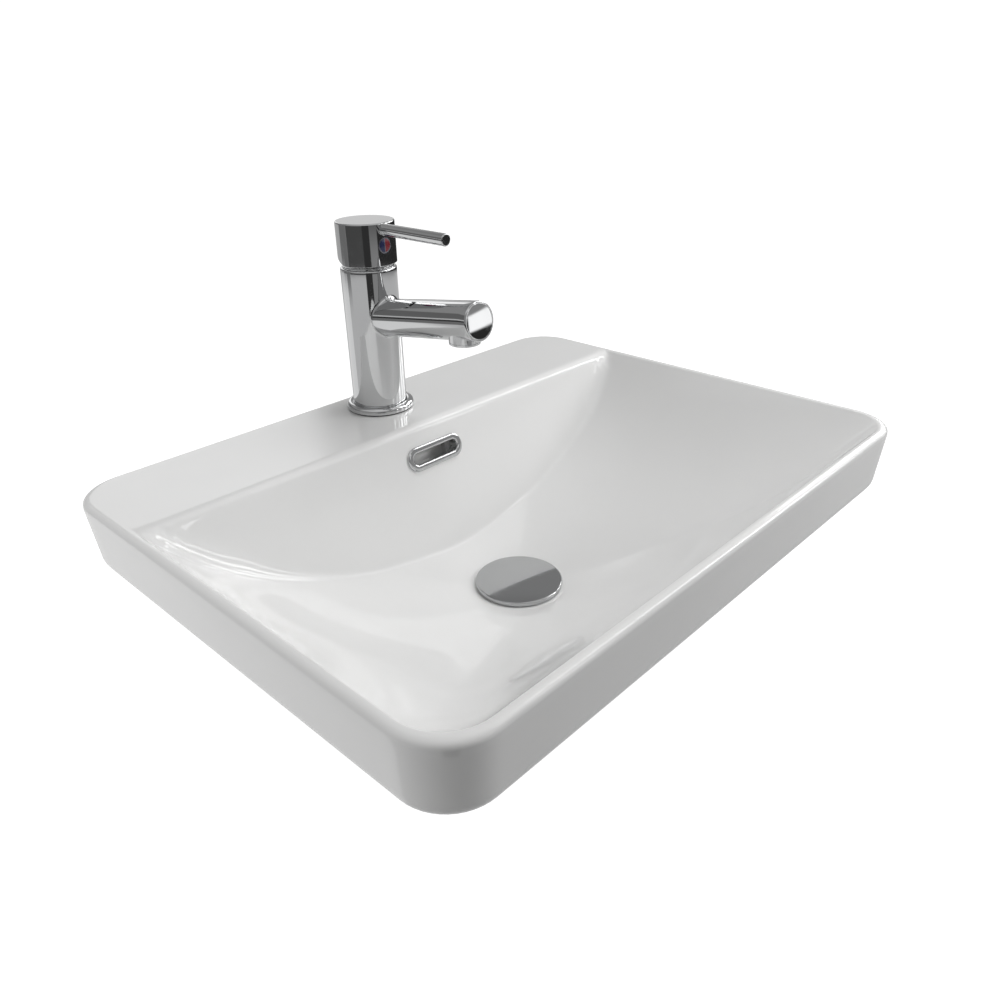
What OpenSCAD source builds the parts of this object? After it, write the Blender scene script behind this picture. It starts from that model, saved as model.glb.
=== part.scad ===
// Inset basin with a single-lever mixer tap and a press-to-open waste.
// The origin is the centre of the counter cut-out, on the counter's top. +Z is up and +Y is the tap side.

/* [Basin outside] */
// Width of the basin over its rim
basin_w = 500; // [460:5:640]
// Depth of the basin from front to back
basin_d = 380; // [360:5:460]
// Height of the rim above the counter
rim_h = 55.5; // [48:0.5:75]
// Corner radius of the rim, seen from above
corner_r = 35; // [28:1:55]
// How far each side leans in from rim to foot
skirt_draft = 3; // [1:0.5:6]
// Radius of the rim's outer edge
rim_edge_r = 4.5; // [3:0.5:4.5]
// Radius of the skirt's lower edge
foot_edge_r = 14; // [8:1:18]
// Width of the flat foot that rests on the counter
foot_w = 8; // [5:0.5:12]
// Thickness of the skirt
skirt_t = 10; // [7:0.5:13]
// Thickness of the deck that carries the tap
deck_t = 14; // [10:0.5:18]
// Height of the pad under the deck that the tap is clamped against
pad_t = 3; // [2:0.5:5]

/* [Bowl] */
// Depth of the bowl's floor below the rim
bowl_depth = 111.5; // [95:0.5:125]
// Width of the rim, from its outer edge to the bowl
rim_w = 7.5; // [7:0.5:14]
// Radius of the rim's inner edge
rim_inner_r = 3; // [1.5:0.5:3]
// Upright thickness of the bowl
bowl_t = 12; // [9:0.5:14]
// Share of the depth that rises evenly from the drain to the rim
even_rise = 0.56; // [0.4:0.02:0.8]
// Power of the rest of the rise, which steepens towards the rim
steep_power = 4.2; // [3:0.1:6]
// Depth of the deck, from the back edge to the bowl
deck_d = 95; // [88:1:110]
// Lean of the bowl's rear wall from upright
rear_lean = 19.3; // [12:0.1:26]
// Thickness of the rear wall
rear_wall_t = 12; // [9:0.5:14]
// Radius of the deck's front edge
deck_edge_r = 8; // [4:0.5:12]
// How far the drain lies in front of the basin's centre
drain_forward = 5.4; // [0:0.2:15]
// Radius of the level floor round the drain
floor_r = 36; // [36:0.5:42]
// Height of the hollow boss under the drain
boss_h = 38; // [34:0.5:46]
// Radius of the drain boss
boss_r = 35; // [34:0.5:40]
// Radius of the drain bore through the basin
drain_bore_r = 23; // [22:0.5:25]

/* [Overflow] */
// Depth of the overflow's centre below the rim
overflow_depth = 24.7; // [20:0.1:34]
// Length of the overflow slot
overflow_slot_w = 47; // [36:1:52]
// Height of the overflow slot
overflow_slot_h = 9; // [7:0.5:10]
// Width of the ring's flange around the slot
overflow_flange_w = 5.5; // [4:0.5:7]
// How far the ring stands out from the wall
overflow_flange_t = 2.2; // [1.5:0.1:3]
// Length of the ring's sleeve inside the wall
overflow_sleeve_l = 8; // [6:0.5:9]
// Wall of the ring's sleeve
overflow_sleeve_t = 1.5; // [1:0.1:2]
// Radius of the duct from the overflow to the drain
duct_r = 5.5; // [4.5:0.1:6]
// Wall of the duct
duct_wall = 6; // [4:0.5:7]
// Width of the duct
duct_w = 46; // [36:1:52]

/* [Waste] */
// Diameter of the waste's pipe thread
waste_thread_d = 41.91; // [41:0.01:42.5]
// Wall of the waste's tube
waste_wall = 2.4; // [2:0.1:3]
// Length of the waste below the bowl's floor
waste_l = 92; // [86:1:120]
// Length of the free thread for the trap
trap_thread_l = 32; // [25:0.5:36]
// Radius of the waste's flange
flange_r = 32; // [30:0.5:33]
// Thickness of the waste's flange
flange_t = 2.6; // [2.4:0.1:3.5]
// Thickness of the seal under the flange
flange_seal_t = 1.2; // [0.8:0.1:2]
// Thickness of the rubber seal under the basin
lower_seal_t = 8; // [6:0.5:10]
// Thickness of the slip washer above the back nut
slip_washer_t = 1.5; // [1:0.1:2]
// Thickness of the back nut
backnut_t = 9; // [7:0.5:10]
// Width of the back nut across its flats
backnut_af = 56; // [54:0.5:60]
// Diameter of the plug's cap
plug_d = 69; // [66:0.5:71]
// Thickness of the plug's cap
plug_t = 3.5; // [3:0.1:5]
// Gap between the closed cap and the floor
plug_gap = 0.5; // [0.3:0.1:1]
// How far the plug rises when it is pressed open
plug_travel = 8; // [6:0.5:9]
// Radius of the plunger that carries the plug
plunger_r = 4; // [3:0.1:4.5]

/* [Tap body] */
// Distance of the tap from the basin's back edge
tap_back = 38; // [36:0.5:44]
// Diameter of the tap's body
body_d = 44.5; // [44:0.1:48]
// Height of the body above the deck
body_h = 116.7; // [110:0.1:140]
// Diameter of the ring at the tap's foot
base_ring_d = 56; // [52:0.5:60]
// Height of the ring at the tap's foot
base_ring_h = 5; // [3:0.5:8]
// Thickness of the gasket under the tap
gasket_t = 1; // [0.5:0.1:2]
// Radius of the tap hole in the deck
tap_hole_r = 17.5; // [17:0.1:18]
// Diameter of the spout
spout_d = 29; // [27:0.5:31]
// Height of the spout's axis where it leaves the body's axis
spout_axis_h = 76; // [70:0.5:77]
// Angle at which the spout rises
spout_rise = 8.4; // [0:0.1:9]
// Length of the spout from the body's axis
spout_l = 123.3; // [110:0.1:150]
// Distance of the aerator from the body's axis
aerator_reach = 106; // [94:0.5:106]
// Diameter of the aerator
aerator_d = 23.6; // [22:0.1:24]
// How far the aerator stands out below the spout
aerator_drop = 2.2; // [2:0.1:5]
// Diameter of the hot and cold hose threads
hose_thread_d = 10; // [9.5:0.1:10.5]

/* [Tap handle] */
// Diameter of the handle's cap
cap_d = 46; // [45:0.1:50]
// Height of the handle's cap
cap_h = 31.9; // [30:0.1:38]
// Gap between the body and the cap
cap_gap = 2.9; // [2.5:0.1:4]
// Height of the lever's axis above the cap's lower edge
lever_h = 27; // [25:0.1:27]
// Diameter of the lever
lever_d = 9; // [7:0.1:9.6]
// Reach of the lever from the tap's axis
lever_reach = 91; // [75:0.5:110]
// Angle through which the handle lifts
lift_angle = 20; // [15:1:20]
// Diameter of the hot and cold indicator
indicator_d = 12; // [9:0.1:12]
// Height of the indicator above the cap's lower edge
indicator_h = 15.3; // [15:0.1:15.6]

/* [Tap fixing] */
// Diameter of the stud that clamps the tap
stud_d = 8; // [6:0.1:8]
// Length of the stud below the deck
stud_below = 34; // [30:0.5:45]
// Radius of the horseshoe washers
horseshoe_r = 22.5; // [21.5:0.1:22.5]
// Thickness of the rubber horseshoe
rubber_shoe_t = 3; // [2:0.1:4]
// Thickness of the steel horseshoe
steel_shoe_t = 2; // [1.5:0.1:3]
// Height of the stud's nut
stud_nut_h = 14; // [8:0.5:18]
// Width of the stud's nut across its flats
stud_nut_af = 12; // [11:0.1:12.5]

/* [Hidden] */

$fn = 64;

// Clearance between pieces that are assembled and stay put
seat = 0.05;
// Radial clearance of pieces that slide or turn on each other
running = 0.05;
// Gap that lets a moving piece pass its neighbour
free_gap = 0.3;
// How far a cut runs past the face that it opens
past = 1;

chrome = [0.78, 0.80, 0.83];
brass = [0.80, 0.68, 0.40];
rubber = [0.12, 0.12, 0.13];
steel = [0.62, 0.63, 0.65];
plastic = [0.90, 0.90, 0.88];
glaze = [0.95, 0.95, 0.94];

deck_edge_y = basin_d / 2 - deck_d;
floor_z = rim_h - bowl_depth;
boss_z = floor_z - boss_h;
tap_y = basin_d / 2 - tap_back;
deck_under_z = rim_h - deck_t;
pad_z = deck_under_z - pad_t;

function rear_wall_y(z) = deck_edge_y + (z - rim_h) * tan(rear_lean);

// Outlines and lofts

function corner_arc(x, y, r, from, steps) =
    [for (i = [0 : steps]) [x + r * cos(from + 90 * i / steps), y + r * sin(from + 90 * i / steps)]];

function along(p, q, steps) = [for (i = [1 : 1 : steps - 1]) p + (q - p) * i / steps];

// A rounded rectangle, anticlockwise, with steps_x and steps_y stretches on its straight sides
function rounded_outline(w, d, r, steps_r, steps_x, steps_y) =
    let (
        x = w / 2 - r,
        y = d / 2 - r,
        a = corner_arc(x, y, r, 0, steps_r),
        b = corner_arc(-x, y, r, 90, steps_r),
        c = corner_arc(-x, -y, r, 180, steps_r),
        e = corner_arc(x, -y, r, 270, steps_r)
    )
    concat(
        a, along(a[steps_r], b[0], steps_x),
        b, along(b[steps_r], c[0], steps_y),
        c, along(c[steps_r], e[0], steps_x),
        e, along(e[steps_r], a[0], steps_y)
    );

function at_height(outline, z) = [for (p = outline) [p.x, p.y, z]];

// A closed solid through level loops that all have the same number of points, lowest first
module loft(loops) {
    n = len(loops[0]);
    top = (len(loops) - 1) * n;
    polyhedron(
        points = [for (loop = loops) each loop],
        faces = concat(
            [[for (i = [0 : n - 1]) i]],
            [for (j = [0 : len(loops) - 2], i = [0 : n - 1])
                let (k = j * n, next = (i + 1) % n)
                each [[k + i, k + n + next, k + next], [k + i, k + n + i, k + n + next]]],
            [[for (i = [n - 1 : -1 : 0]) top + i]]
        )
    );
}

// Basin

edge_steps = 5;
corner_steps = 8;

// The plan outline at a distance inside the rim's widest line; its corners tighten half as fast
function plan(inset, z) =
    at_height(
        rounded_outline(basin_w - 2 * inset, basin_d - 2 * inset, corner_r - inset / 2, corner_steps, 1, 1),
        z
    );

module skirt_form() {
    loft(concat(
        [for (i = [0 : edge_steps])
            let (a = 90 * i / edge_steps)
            plan(skirt_draft + foot_edge_r * (1 - sin(a)), foot_edge_r * (1 - cos(a)))],
        [for (i = [0 : edge_steps])
            let (a = 90 * i / edge_steps)
            plan(rim_edge_r * (1 - cos(a)), rim_h - rim_edge_r * (1 - sin(a)))]
    ));
}

// The space under the rim and deck, inside the skirt
module hollow_form() {
    foot_inset = skirt_draft + foot_edge_r + foot_w;
    wall_inset = skirt_draft + skirt_t;
    loft([
        plan(foot_inset, -past),
        plan(foot_inset, 0),
        plan((foot_inset + wall_inset) / 2, foot_edge_r * 0.4),
        plan(wall_inset, foot_edge_r),
        plan(wall_inset - skirt_draft / 2, deck_under_z - skirt_t * 0.5),
        plan(wall_inset, deck_under_z - skirt_t * 0.1),
        plan(wall_inset + skirt_t * 0.2, deck_under_z)
    ]);
}

// Height of the bowl at a share s of the way from the drain to the rim, as a share of the rise
function rise(s) = even_rise * s * s / (s + 0.02) + (1 - even_rise * 0.98) * pow(s, steep_power);

bowl_steps = 15;
lip_steps = 4;
lip_slope = 54;
lip_drop = rim_inner_r * (1 - cos(lip_slope));
rim_outline = rounded_outline(basin_w - 2 * rim_w, basin_d - 2 * rim_w, corner_r - rim_w / 2, 7, 14, 10);
drain_centre = [0, -drain_forward];

// The loop at share s: a circle at the drain that turns into the rim's outline
function bowl_loop(s, z) =
    [for (p = rim_outline)
        let (
            v = p - drain_centre,
            reach = norm(v),
            dir = v / reach,
            soft = 1 / norm([dir.x / (basin_w / 2 - rim_w), dir.y / (basin_d / 2 - rim_w)]),
            full = soft + (reach - soft) * (0.25 + 0.75 * s * s),
            r = floor_r + s * (full - floor_r),
            q = drain_centre + dir * r
        )
        [q.x, q.y, z]];

// The loops of the rounded inner edge, which leaves the bowl at lip_slope and ends level
function lip_loop(angle, drop) =
    let (out = rim_inner_r * (sin(lip_slope) - sin(angle)))
    at_height(
        rounded_outline(basin_w - 2 * (rim_w - out), basin_d - 2 * (rim_w - out),
            corner_r - (rim_w - out) / 2, 7, 14, 10),
        rim_h - rim_inner_r * (1 - cos(angle)) - drop
    );

// The bowl's inside, lowered by drop for its outside
module trough_form(drop) {
    deep = bowl_depth - lip_drop;
    loft(concat(
        [for (i = [0 : bowl_steps])
            let (s = i / bowl_steps)
            bowl_loop(s, floor_z + deep * rise(s) - drop)],
        [for (i = [1 : lip_steps]) lip_loop(lip_slope * (1 - i / lip_steps), drop)],
        [lip_loop(0, drop - 2 * past)]
    ));
}

// Everything in front of the rear wall, whose top edge is rounded into the deck
module shelf_form(back) {
    turn = 90 - rear_lean;
    setback = deck_edge_r * tan(turn / 2);
    wall_end_z = floor_z - 2 * boss_h;
    deck_y = deck_edge_y + back;
    front = -basin_d;
    rotate([90, 0, 90])
        translate([0, 0, -basin_w])
            linear_extrude(2 * basin_w)
                polygon(concat(
                    [[front, wall_end_z], [rear_wall_y(wall_end_z) + back, wall_end_z]],
                    [for (i = [0 : edge_steps])
                        let (a = turn * (1 - i / edge_steps))
                        [deck_y + setback - deck_edge_r * sin(a), rim_h - deck_edge_r * (1 - cos(a))]],
                    [[deck_y + setback, rim_h + 4 * past], [front, rim_h + 4 * past]]
                ));
}

module bowl_form(drop, back) {
    intersection() {
        trough_form(drop);
        shelf_form(back);
    }
}

overflow_z = rim_h - overflow_depth;
overflow_hole_h = overflow_slot_h + 2 * overflow_sleeve_t + 2 * seat;
overflow_hole_w = overflow_slot_w + 2 * overflow_sleeve_t + 2 * seat;
duct_skin = overflow_sleeve_l;
chamber_z = floor_z - boss_h / 2;

// The duct's route down the back of the rear wall and under the floor, as [y, z]
duct_path = [
    [rear_wall_y(overflow_z) + duct_skin + duct_r, overflow_z - 2],
    [rear_wall_y(floor_z + 10) + duct_skin + duct_r, floor_z + 10],
    [rear_wall_y(floor_z) + duct_skin + duct_r - 2, floor_z],
    [-drain_forward + drain_bore_r, chamber_z]
];

module duct(r, w) {
    for (i = [0 : len(duct_path) - 2])
        hull()
            for (p = [duct_path[i], duct_path[i + 1]])
                translate([0, p.x, p.y])
                    rotate([0, 90, 0])
                        cylinder(r = r, h = w, center = true, $fn = 24);
}

// Places what follows on the rear wall at the overflow, with +Z out of the wall
module at_overflow() {
    translate([0, rear_wall_y(overflow_z), overflow_z])
        rotate([90 - rear_lean, 0, 0])
            children();
}

module overflow_hole() {
    at_overflow()
        translate([0, 0, -overflow_sleeve_l - duct_r])
            linear_extrude(overflow_sleeve_l + duct_r + 4 * overflow_flange_t)
                hull()
                    for (side = [-1, 1])
                        translate([side * (overflow_hole_w - overflow_hole_h) / 2, 0])
                            circle(d = overflow_hole_h, $fn = 48);
}

// The boss under the drain, which flares into the bowl's underside
module drain_boss() {
    flare = boss_h * 0.4;
    translate([0, -drain_forward, boss_z]) {
        cylinder(r = boss_r, h = boss_h - flare + past);
        translate([0, 0, boss_h - flare])
            hull() {
                cylinder(r = boss_r, h = past);
                translate([0, 0, flare - 2 * past])
                    cylinder(r = boss_r + flare, h = past);
            }
    }
}

// The pad under the deck, which spreads where it meets the deck
module tap_pad() {
    pad_r = horseshoe_r + 1;
    translate([0, tap_y, pad_z])
        hull() {
            cylinder(r = pad_r, h = past);
            translate([0, 0, pad_t])
                cylinder(r = pad_r + pad_t, h = past);
        }
}

flange_recess = flange_t + flange_seal_t;
chamber_r = drain_bore_r + 4;
chamber_h = boss_h * 0.46;

module drain_opening() {
    translate([0, -drain_forward, 0]) {
        translate([0, 0, boss_z - past])
            cylinder(r = drain_bore_r, h = boss_h + 2 * past);
        translate([0, 0, floor_z - flange_recess])
            cylinder(r = flange_r + 2 * free_gap, h = flange_recess + past);
        translate([0, 0, chamber_z - chamber_h / 2])
            cylinder(r = chamber_r, h = chamber_h);
    }
}

// The glazed ceramic body in one casting: skirt, deck, bowl, rear wall, overflow duct and drain boss
module basin() {
    color(glaze)
        difference() {
            union() {
                difference() {
                    skirt_form();
                    hollow_form();
                }
                bowl_form(bowl_t, rear_wall_t);
                tap_pad();
                drain_boss();
                duct(duct_r + duct_wall, duct_w + 2 * duct_wall);
            }
            bowl_form(0, 0);
            drain_opening();
            duct(duct_r, duct_w);
            overflow_hole();
            translate([0, tap_y, pad_z - past])
                cylinder(r = tap_hole_r, h = pad_t + deck_t + 2 * past);
        }
}

// Sweeps a profile of [distance from the middle line, height] round a slot's outline
module slot_sweep(straight) {
    for (half = [0, 180])
        rotate([0, 0, half]) {
            translate([straight / 2, 0, 0])
                rotate([0, 0, -90])
                    rotate_extrude(angle = 180)
                        children();
            translate([-straight / 2, 0, 0])
                rotate([90, 0, 90])
                    linear_extrude(straight)
                        children();
        }
}

// The trim ring pressed into the overflow: a rounded flange on a short sleeve
module overflow_ring() {
    inner = overflow_slot_h / 2;
    outer = inner + overflow_flange_w;
    round_r = overflow_flange_t * 0.6;
    color(chrome)
        at_overflow()
            slot_sweep(overflow_slot_w - overflow_slot_h)
                polygon(concat(
                    [[inner, -overflow_sleeve_l], [inner + overflow_sleeve_t, -overflow_sleeve_l],
                        [inner + overflow_sleeve_t, 0], [outer, 0]],
                    [for (a = [0 : 30 : 90])
                        [outer - round_r * (1 - cos(a)), overflow_flange_t - round_r * (1 - sin(a))]],
                    [for (a = [90 : 30 : 180])
                        [inner + round_r * (1 + cos(a)), overflow_flange_t - round_r * (1 - sin(a))]]
                ));
}

// Waste

waste_r = waste_thread_d / 2;
waste_bore_r = waste_r - waste_wall;
plug_seat_r = waste_bore_r + 4.5;
plug_seat_depth = flange_t - 0.6;
cross_z = floor_z - 44;
cross_h = 6;
hub_r = 8;
click_r = 7;
click_grip = 14;
click_floor = 4;
click_spigot_r = 4.5;
lower_seal_z = boss_z - lower_seal_t;
slip_washer_z = lower_seal_z - slip_washer_t;
backnut_z = slip_washer_z - backnut_t;

module at_drain(z) {
    translate([0, -drain_forward, z])
        children();
}

// Flange, slotted tube, cross and trap thread in one turned casting
module waste_body() {
    slots = 4;
    slot_w = 14;
    slot_h = 12;
    groove_w = 1.5;
    groove_d = 0.8;
    tail_z = floor_z - waste_l;
    color(chrome)
        difference() {
            union() {
                at_drain(0)
                    rotate_extrude()
                        polygon([
                            [waste_bore_r, tail_z],
                            [waste_r - 0.5, tail_z],
                            [waste_r, tail_z + 0.5],
                            [waste_r, tail_z + trap_thread_l],
                            [waste_r - groove_d, tail_z + trap_thread_l],
                            [waste_r - groove_d, tail_z + trap_thread_l + groove_w],
                            [waste_r, tail_z + trap_thread_l + groove_w],
                            [waste_r, floor_z - flange_t],
                            [flange_r, floor_z - flange_t],
                            [flange_r, floor_z - 0.8],
                            [flange_r - 0.8, floor_z],
                            [plug_seat_r, floor_z],
                            [plug_seat_r, floor_z - plug_seat_depth],
                            [waste_bore_r, floor_z - plug_seat_depth - 0.1]
                        ]);
                at_drain(cross_z) {
                    cylinder(r = hub_r, h = cross_h);
                    for (bar = [0, 90])
                        rotate([0, 0, bar])
                            translate([-waste_r + waste_wall / 2, -2, 0])
                                cube([2 * waste_r - waste_wall, 4, cross_h]);
                }
            }
            at_drain(cross_z - past)
                cylinder(r = click_spigot_r + seat, h = cross_h + 2 * past);
            at_drain(chamber_z)
                for (i = [0 : slots - 1])
                    rotate([0, 0, 45 + 90 * i])
                        translate([0, -slot_w / 2, -slot_h / 2])
                            cube([waste_r + past, slot_w, slot_h]);
        }
}

module washer(r_out, r_in, h) {
    difference() {
        cylinder(r = r_out, h = h);
        translate([0, 0, -past])
            cylinder(r = r_in, h = h + 2 * past);
    }
}

module waste_flange_seal() {
    color(rubber)
        at_drain(floor_z - flange_recess)
            washer(flange_r - 1, waste_r + free_gap, flange_seal_t);
}

// The tapered rubber ring that closes the basin's bore from below
module waste_lower_seal() {
    inside = waste_r + 0.1;
    tongue = drain_bore_r - free_gap;
    color(rubber)
        at_drain(lower_seal_z)
            rotate_extrude()
                polygon([
                    [inside, 0],
                    [boss_r - 6, 0],
                    [boss_r - 3, 2],
                    [boss_r - 3, lower_seal_t],
                    [tongue, lower_seal_t],
                    [tongue - 0.5, lower_seal_t + 3],
                    [inside, lower_seal_t + 3]
                ]);
}

module waste_slip_washer() {
    color(plastic)
        at_drain(slip_washer_z)
            washer(boss_r - 6, waste_r + 0.1, slip_washer_t);
}

// Eight-sided back nut with a round collar
module waste_backnut() {
    collar_t = 2;
    color(brass)
        at_drain(backnut_z)
            difference() {
                union() {
                    rotate([0, 0, 22.5])
                        cylinder(r = backnut_af / 2 / cos(22.5), h = backnut_t - collar_t, $fn = 8);
                    translate([0, 0, backnut_t - collar_t])
                        cylinder(r = backnut_af / 2, h = collar_t);
                }
                translate([0, 0, -past])
                    cylinder(r = waste_r + 0.1, h = backnut_t + 2 * past);
            }
}

click_z = cross_z + cross_h;
click_bore_h = click_grip + plug_travel;
click_h = click_floor + click_bore_h;

// The latch housing that screws into the waste's cross
module click_housing() {
    color(brass)
        at_drain(click_z)
            difference() {
                union() {
                    cylinder(r = click_r, h = click_h);
                    translate([0, 0, -cross_h])
                        cylinder(r = click_spigot_r, h = cross_h + past);
                    cylinder(r = click_r / cos(30), h = 5, $fn = 6);
                }
                translate([0, 0, click_floor])
                    cylinder(r = plunger_r + running, h = click_bore_h + past);
            }
}

plug_under_z = floor_z + plug_gap;
plug_neck_r = plunger_r + 3;
plug_neck_h = 5;

// The plunger: a stem in the latch housing and a thinner thread in the cap
module click_plunger() {
    stem_z = click_z + click_floor + free_gap;
    color(brass)
        at_drain(stem_z)
            union() {
                cylinder(r = plunger_r, h = plug_under_z - plug_neck_h - stem_z);
                cylinder(r = plunger_r - 1, h = plug_under_z + 1.5 - stem_z);
            }
}

// The round cap that covers the waste, with the neck that takes the plunger
module plug_cap() {
    edge = 1.2;
    plug_r = plug_d / 2;
    color(chrome)
        at_drain(plug_under_z)
            difference() {
                union() {
                    rotate_extrude()
                        polygon(concat(
                            [[0, 0], [plug_r - 0.6, 0], [plug_r, 0.6]],
                            [for (a = [0 : 22.5 : 90])
                                [plug_r - edge * (1 - cos(a)), plug_t - edge * (1 - sin(a))]],
                            [[0, plug_t]]
                        ));
                    translate([0, 0, -plug_neck_h])
                        cylinder(r = plug_neck_r, h = plug_neck_h + 0.5);
                }
                translate([0, 0, -plug_neck_h - past])
                    cylinder(r = plunger_r - 1 + seat, h = plug_neck_h + past + 1.5);
            }
}

// The rubber ring under the cap, which closes on the waste's seat
module plug_seal() {
    seal_h = plug_seat_depth + plug_gap - free_gap;
    color(rubber)
        at_drain(plug_under_z - seal_h)
            washer(plug_seat_r - free_gap, plug_neck_r + seat, seal_h);
}

// Tap body. Heights in the tap's own frame start at the deck.

body_r = body_d / 2;
body_foot = gasket_t;
// Height of the floor of the cartridge's chamber, below the body's top
chamber_depth = 27;
chamber_floor_h = body_h - chamber_depth;
cartridge_bore_r = 17.5;
nut_bore_r = 19;
nut_depth = 6;
inlet_x = 8;
inlet_y = 1;
inlet_r = 3.8;
outlet_y = -9;
outlet_r = 4;
hose_thread_l = 14;
stud_y = 13;
stud_grip = 12;
spout_bore_r = 9;
end_plug_t = 3;
end_plug_r = spout_d / 2 - 1.5;
aerator_r = aerator_d / 2;
spout_under_h = spout_axis_h + aerator_reach * tan(spout_rise) - spout_d / 2 / cos(spout_rise);
aerator_foot_h = spout_under_h - aerator_drop;
aerator_top_h = spout_axis_h + aerator_reach * tan(spout_rise) - 3;

module at_tap(h) {
    translate([0, tap_y, rim_h + h])
        children();
}

// Places what follows on the spout's axis, with +Z out of its end
module along_spout(from) {
    at_tap(spout_axis_h)
        rotate([90 - spout_rise, 0, 0])
            translate([0, 0, from])
                children();
}

module tap_gasket() {
    color(rubber)
        at_tap(0)
            washer(base_ring_d / 2 - 0.8, tap_hole_r + 0.5, gasket_t);
}

module tap_base_ring() {
    inner = body_r + seat;
    outer = base_ring_d / 2;
    round_r = min(base_ring_h, outer - inner) * 0.7;
    color(chrome)
        at_tap(body_foot)
            rotate_extrude()
                polygon(concat(
                    [[inner, 0], [outer, 0]],
                    [for (a = [0 : 15 : 90])
                        [outer - round_r * (1 - cos(a)), base_ring_h - round_r * (1 - sin(a))]],
                    [[inner, base_ring_h]]
                ));
}

// The body casting with its spout, chamber, waterways and fixing threads
module tap_body() {
    chamfer = 1.5;
    end_edge = 0.8;
    color(chrome)
        difference() {
            union() {
                at_tap(0)
                    rotate_extrude()
                        polygon([
                            [0, body_foot],
                            [body_r, body_foot],
                            [body_r, body_h - chamfer],
                            [body_r - chamfer, body_h],
                            [0, body_h]
                        ]);
                along_spout(0)
                    cylinder(r = spout_d / 2, h = spout_l - end_edge);
                along_spout(spout_l - end_edge)
                    cylinder(r1 = spout_d / 2, r2 = spout_d / 2 - end_edge, h = end_edge);
            }
            at_tap(chamber_floor_h)
                cylinder(r = cartridge_bore_r, h = chamber_depth + past);
            at_tap(body_h - nut_depth)
                cylinder(r = nut_bore_r, h = nut_depth + past);
            for (side = [-1, 1])
                at_tap(body_foot - past)
                    translate([side * inlet_x, inlet_y, 0]) {
                        cylinder(d = hose_thread_d, h = hose_thread_l + past);
                        cylinder(r = inlet_r, h = chamber_floor_h);
                    }
            at_tap(body_foot - past)
                translate([0, stud_y, 0])
                    cylinder(d = stud_d + 2 * seat, h = stud_grip + past);
            at_tap(spout_axis_h)
                translate([0, outlet_y, 0])
                    cylinder(r = outlet_r, h = chamber_floor_h - spout_axis_h + past);
            along_spout(-outlet_y - outlet_r + 1)
                cylinder(r = spout_bore_r, h = spout_l);
            along_spout(spout_l - end_plug_t)
                cylinder(r = end_plug_r + seat, h = end_plug_t + past);
            at_tap(spout_under_h - spout_d / 2)
                translate([0, -aerator_reach, 0])
                    cylinder(r = aerator_r + seat, h = aerator_top_h + seat - spout_under_h + spout_d / 2);
        }
}

// The polished disc that closes the spout's end
module spout_end_plug() {
    edge = 0.5;
    color(chrome)
        along_spout(spout_l - end_plug_t)
            union() {
                cylinder(r = end_plug_r, h = end_plug_t - edge);
                translate([0, 0, end_plug_t - edge])
                    cylinder(r1 = end_plug_r, r2 = end_plug_r - edge, h = edge);
            }
}

aerator_wall = 1.8;
aerator_lip_h = 1.6;
aerator_washer_t = 1.5;

module at_aerator(h) {
    at_tap(h)
        translate([0, -aerator_reach, 0])
            children();
}

// The threaded sleeve that holds the aerator in the spout
module aerator_housing() {
    aerator_h = aerator_top_h - aerator_washer_t - aerator_foot_h;
    color(chrome)
        at_aerator(aerator_foot_h)
            difference() {
                union() {
                    cylinder(r1 = aerator_r - 0.6, r2 = aerator_r, h = 0.6);
                    translate([0, 0, 0.6])
                        cylinder(r = aerator_r, h = aerator_h - 0.6);
                }
                translate([0, 0, -past])
                    cylinder(r = aerator_r - aerator_wall - 1.2, h = aerator_h + 2 * past);
                translate([0, 0, aerator_lip_h])
                    cylinder(r = aerator_r - aerator_wall, h = aerator_h);
            }
}

// The stream straightener: a drum crossed by two sets of slots
module aerator_insert() {
    insert_r = aerator_r - aerator_wall - seat;
    insert_h = aerator_top_h - aerator_washer_t - aerator_foot_h - aerator_lip_h - seat;
    pitch = 3.2;
    slot = 1.8;
    rows = floor((insert_r - 3) / pitch);
    color(plastic)
        at_aerator(aerator_foot_h + aerator_lip_h)
            difference() {
                cylinder(r = insert_r, h = insert_h);
                for (i = [-rows : rows]) {
                    reach = sqrt(pow(insert_r - 2, 2) - pow(abs(i * pitch) + slot / 2, 2));
                    translate([-reach, i * pitch - slot / 2, -past])
                        cube([2 * reach, slot, insert_h / 3 + past]);
                    translate([i * pitch - slot / 2, -reach, insert_h / 3 - 0.1])
                        cube([slot, 2 * reach, insert_h]);
                }
            }
}

module aerator_washer() {
    color(rubber)
        at_aerator(aerator_top_h - aerator_washer_t)
            washer(aerator_r - 0.3, aerator_r - aerator_wall - 1, aerator_washer_t);
}

// Tap fixing under the deck

module at_stud(z) {
    translate([0, tap_y + stud_y, z])
        children();
}

module fixing_stud() {
    foot_z = pad_z - stud_below;
    color(brass)
        at_stud(foot_z)
            cylinder(d = stud_d, h = rim_h + body_foot + stud_grip - 0.5 - foot_z);
}

// A horseshoe that straddles the hoses and is held by the stud
module horseshoe(h) {
    gap_x = inlet_x + hose_thread_d / 2 + 1.5;
    gap_y = inlet_y + hose_thread_d / 2 + 1;
    difference() {
        cylinder(r = horseshoe_r, h = h);
        translate([-gap_x, -horseshoe_r - past, -past])
            cube([2 * gap_x, horseshoe_r + past + gap_y, h + 2 * past]);
        translate([0, stud_y, -past])
            cylinder(d = stud_d + 0.4, h = h + 2 * past);
    }
}

rubber_shoe_z = pad_z - rubber_shoe_t;
steel_shoe_z = rubber_shoe_z - steel_shoe_t;

module fixing_rubber_shoe() {
    color(rubber)
        translate([0, tap_y, rubber_shoe_z])
            horseshoe(rubber_shoe_t);
}

module fixing_steel_shoe() {
    color(steel)
        translate([0, tap_y, steel_shoe_z])
            horseshoe(steel_shoe_t);
}

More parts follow.
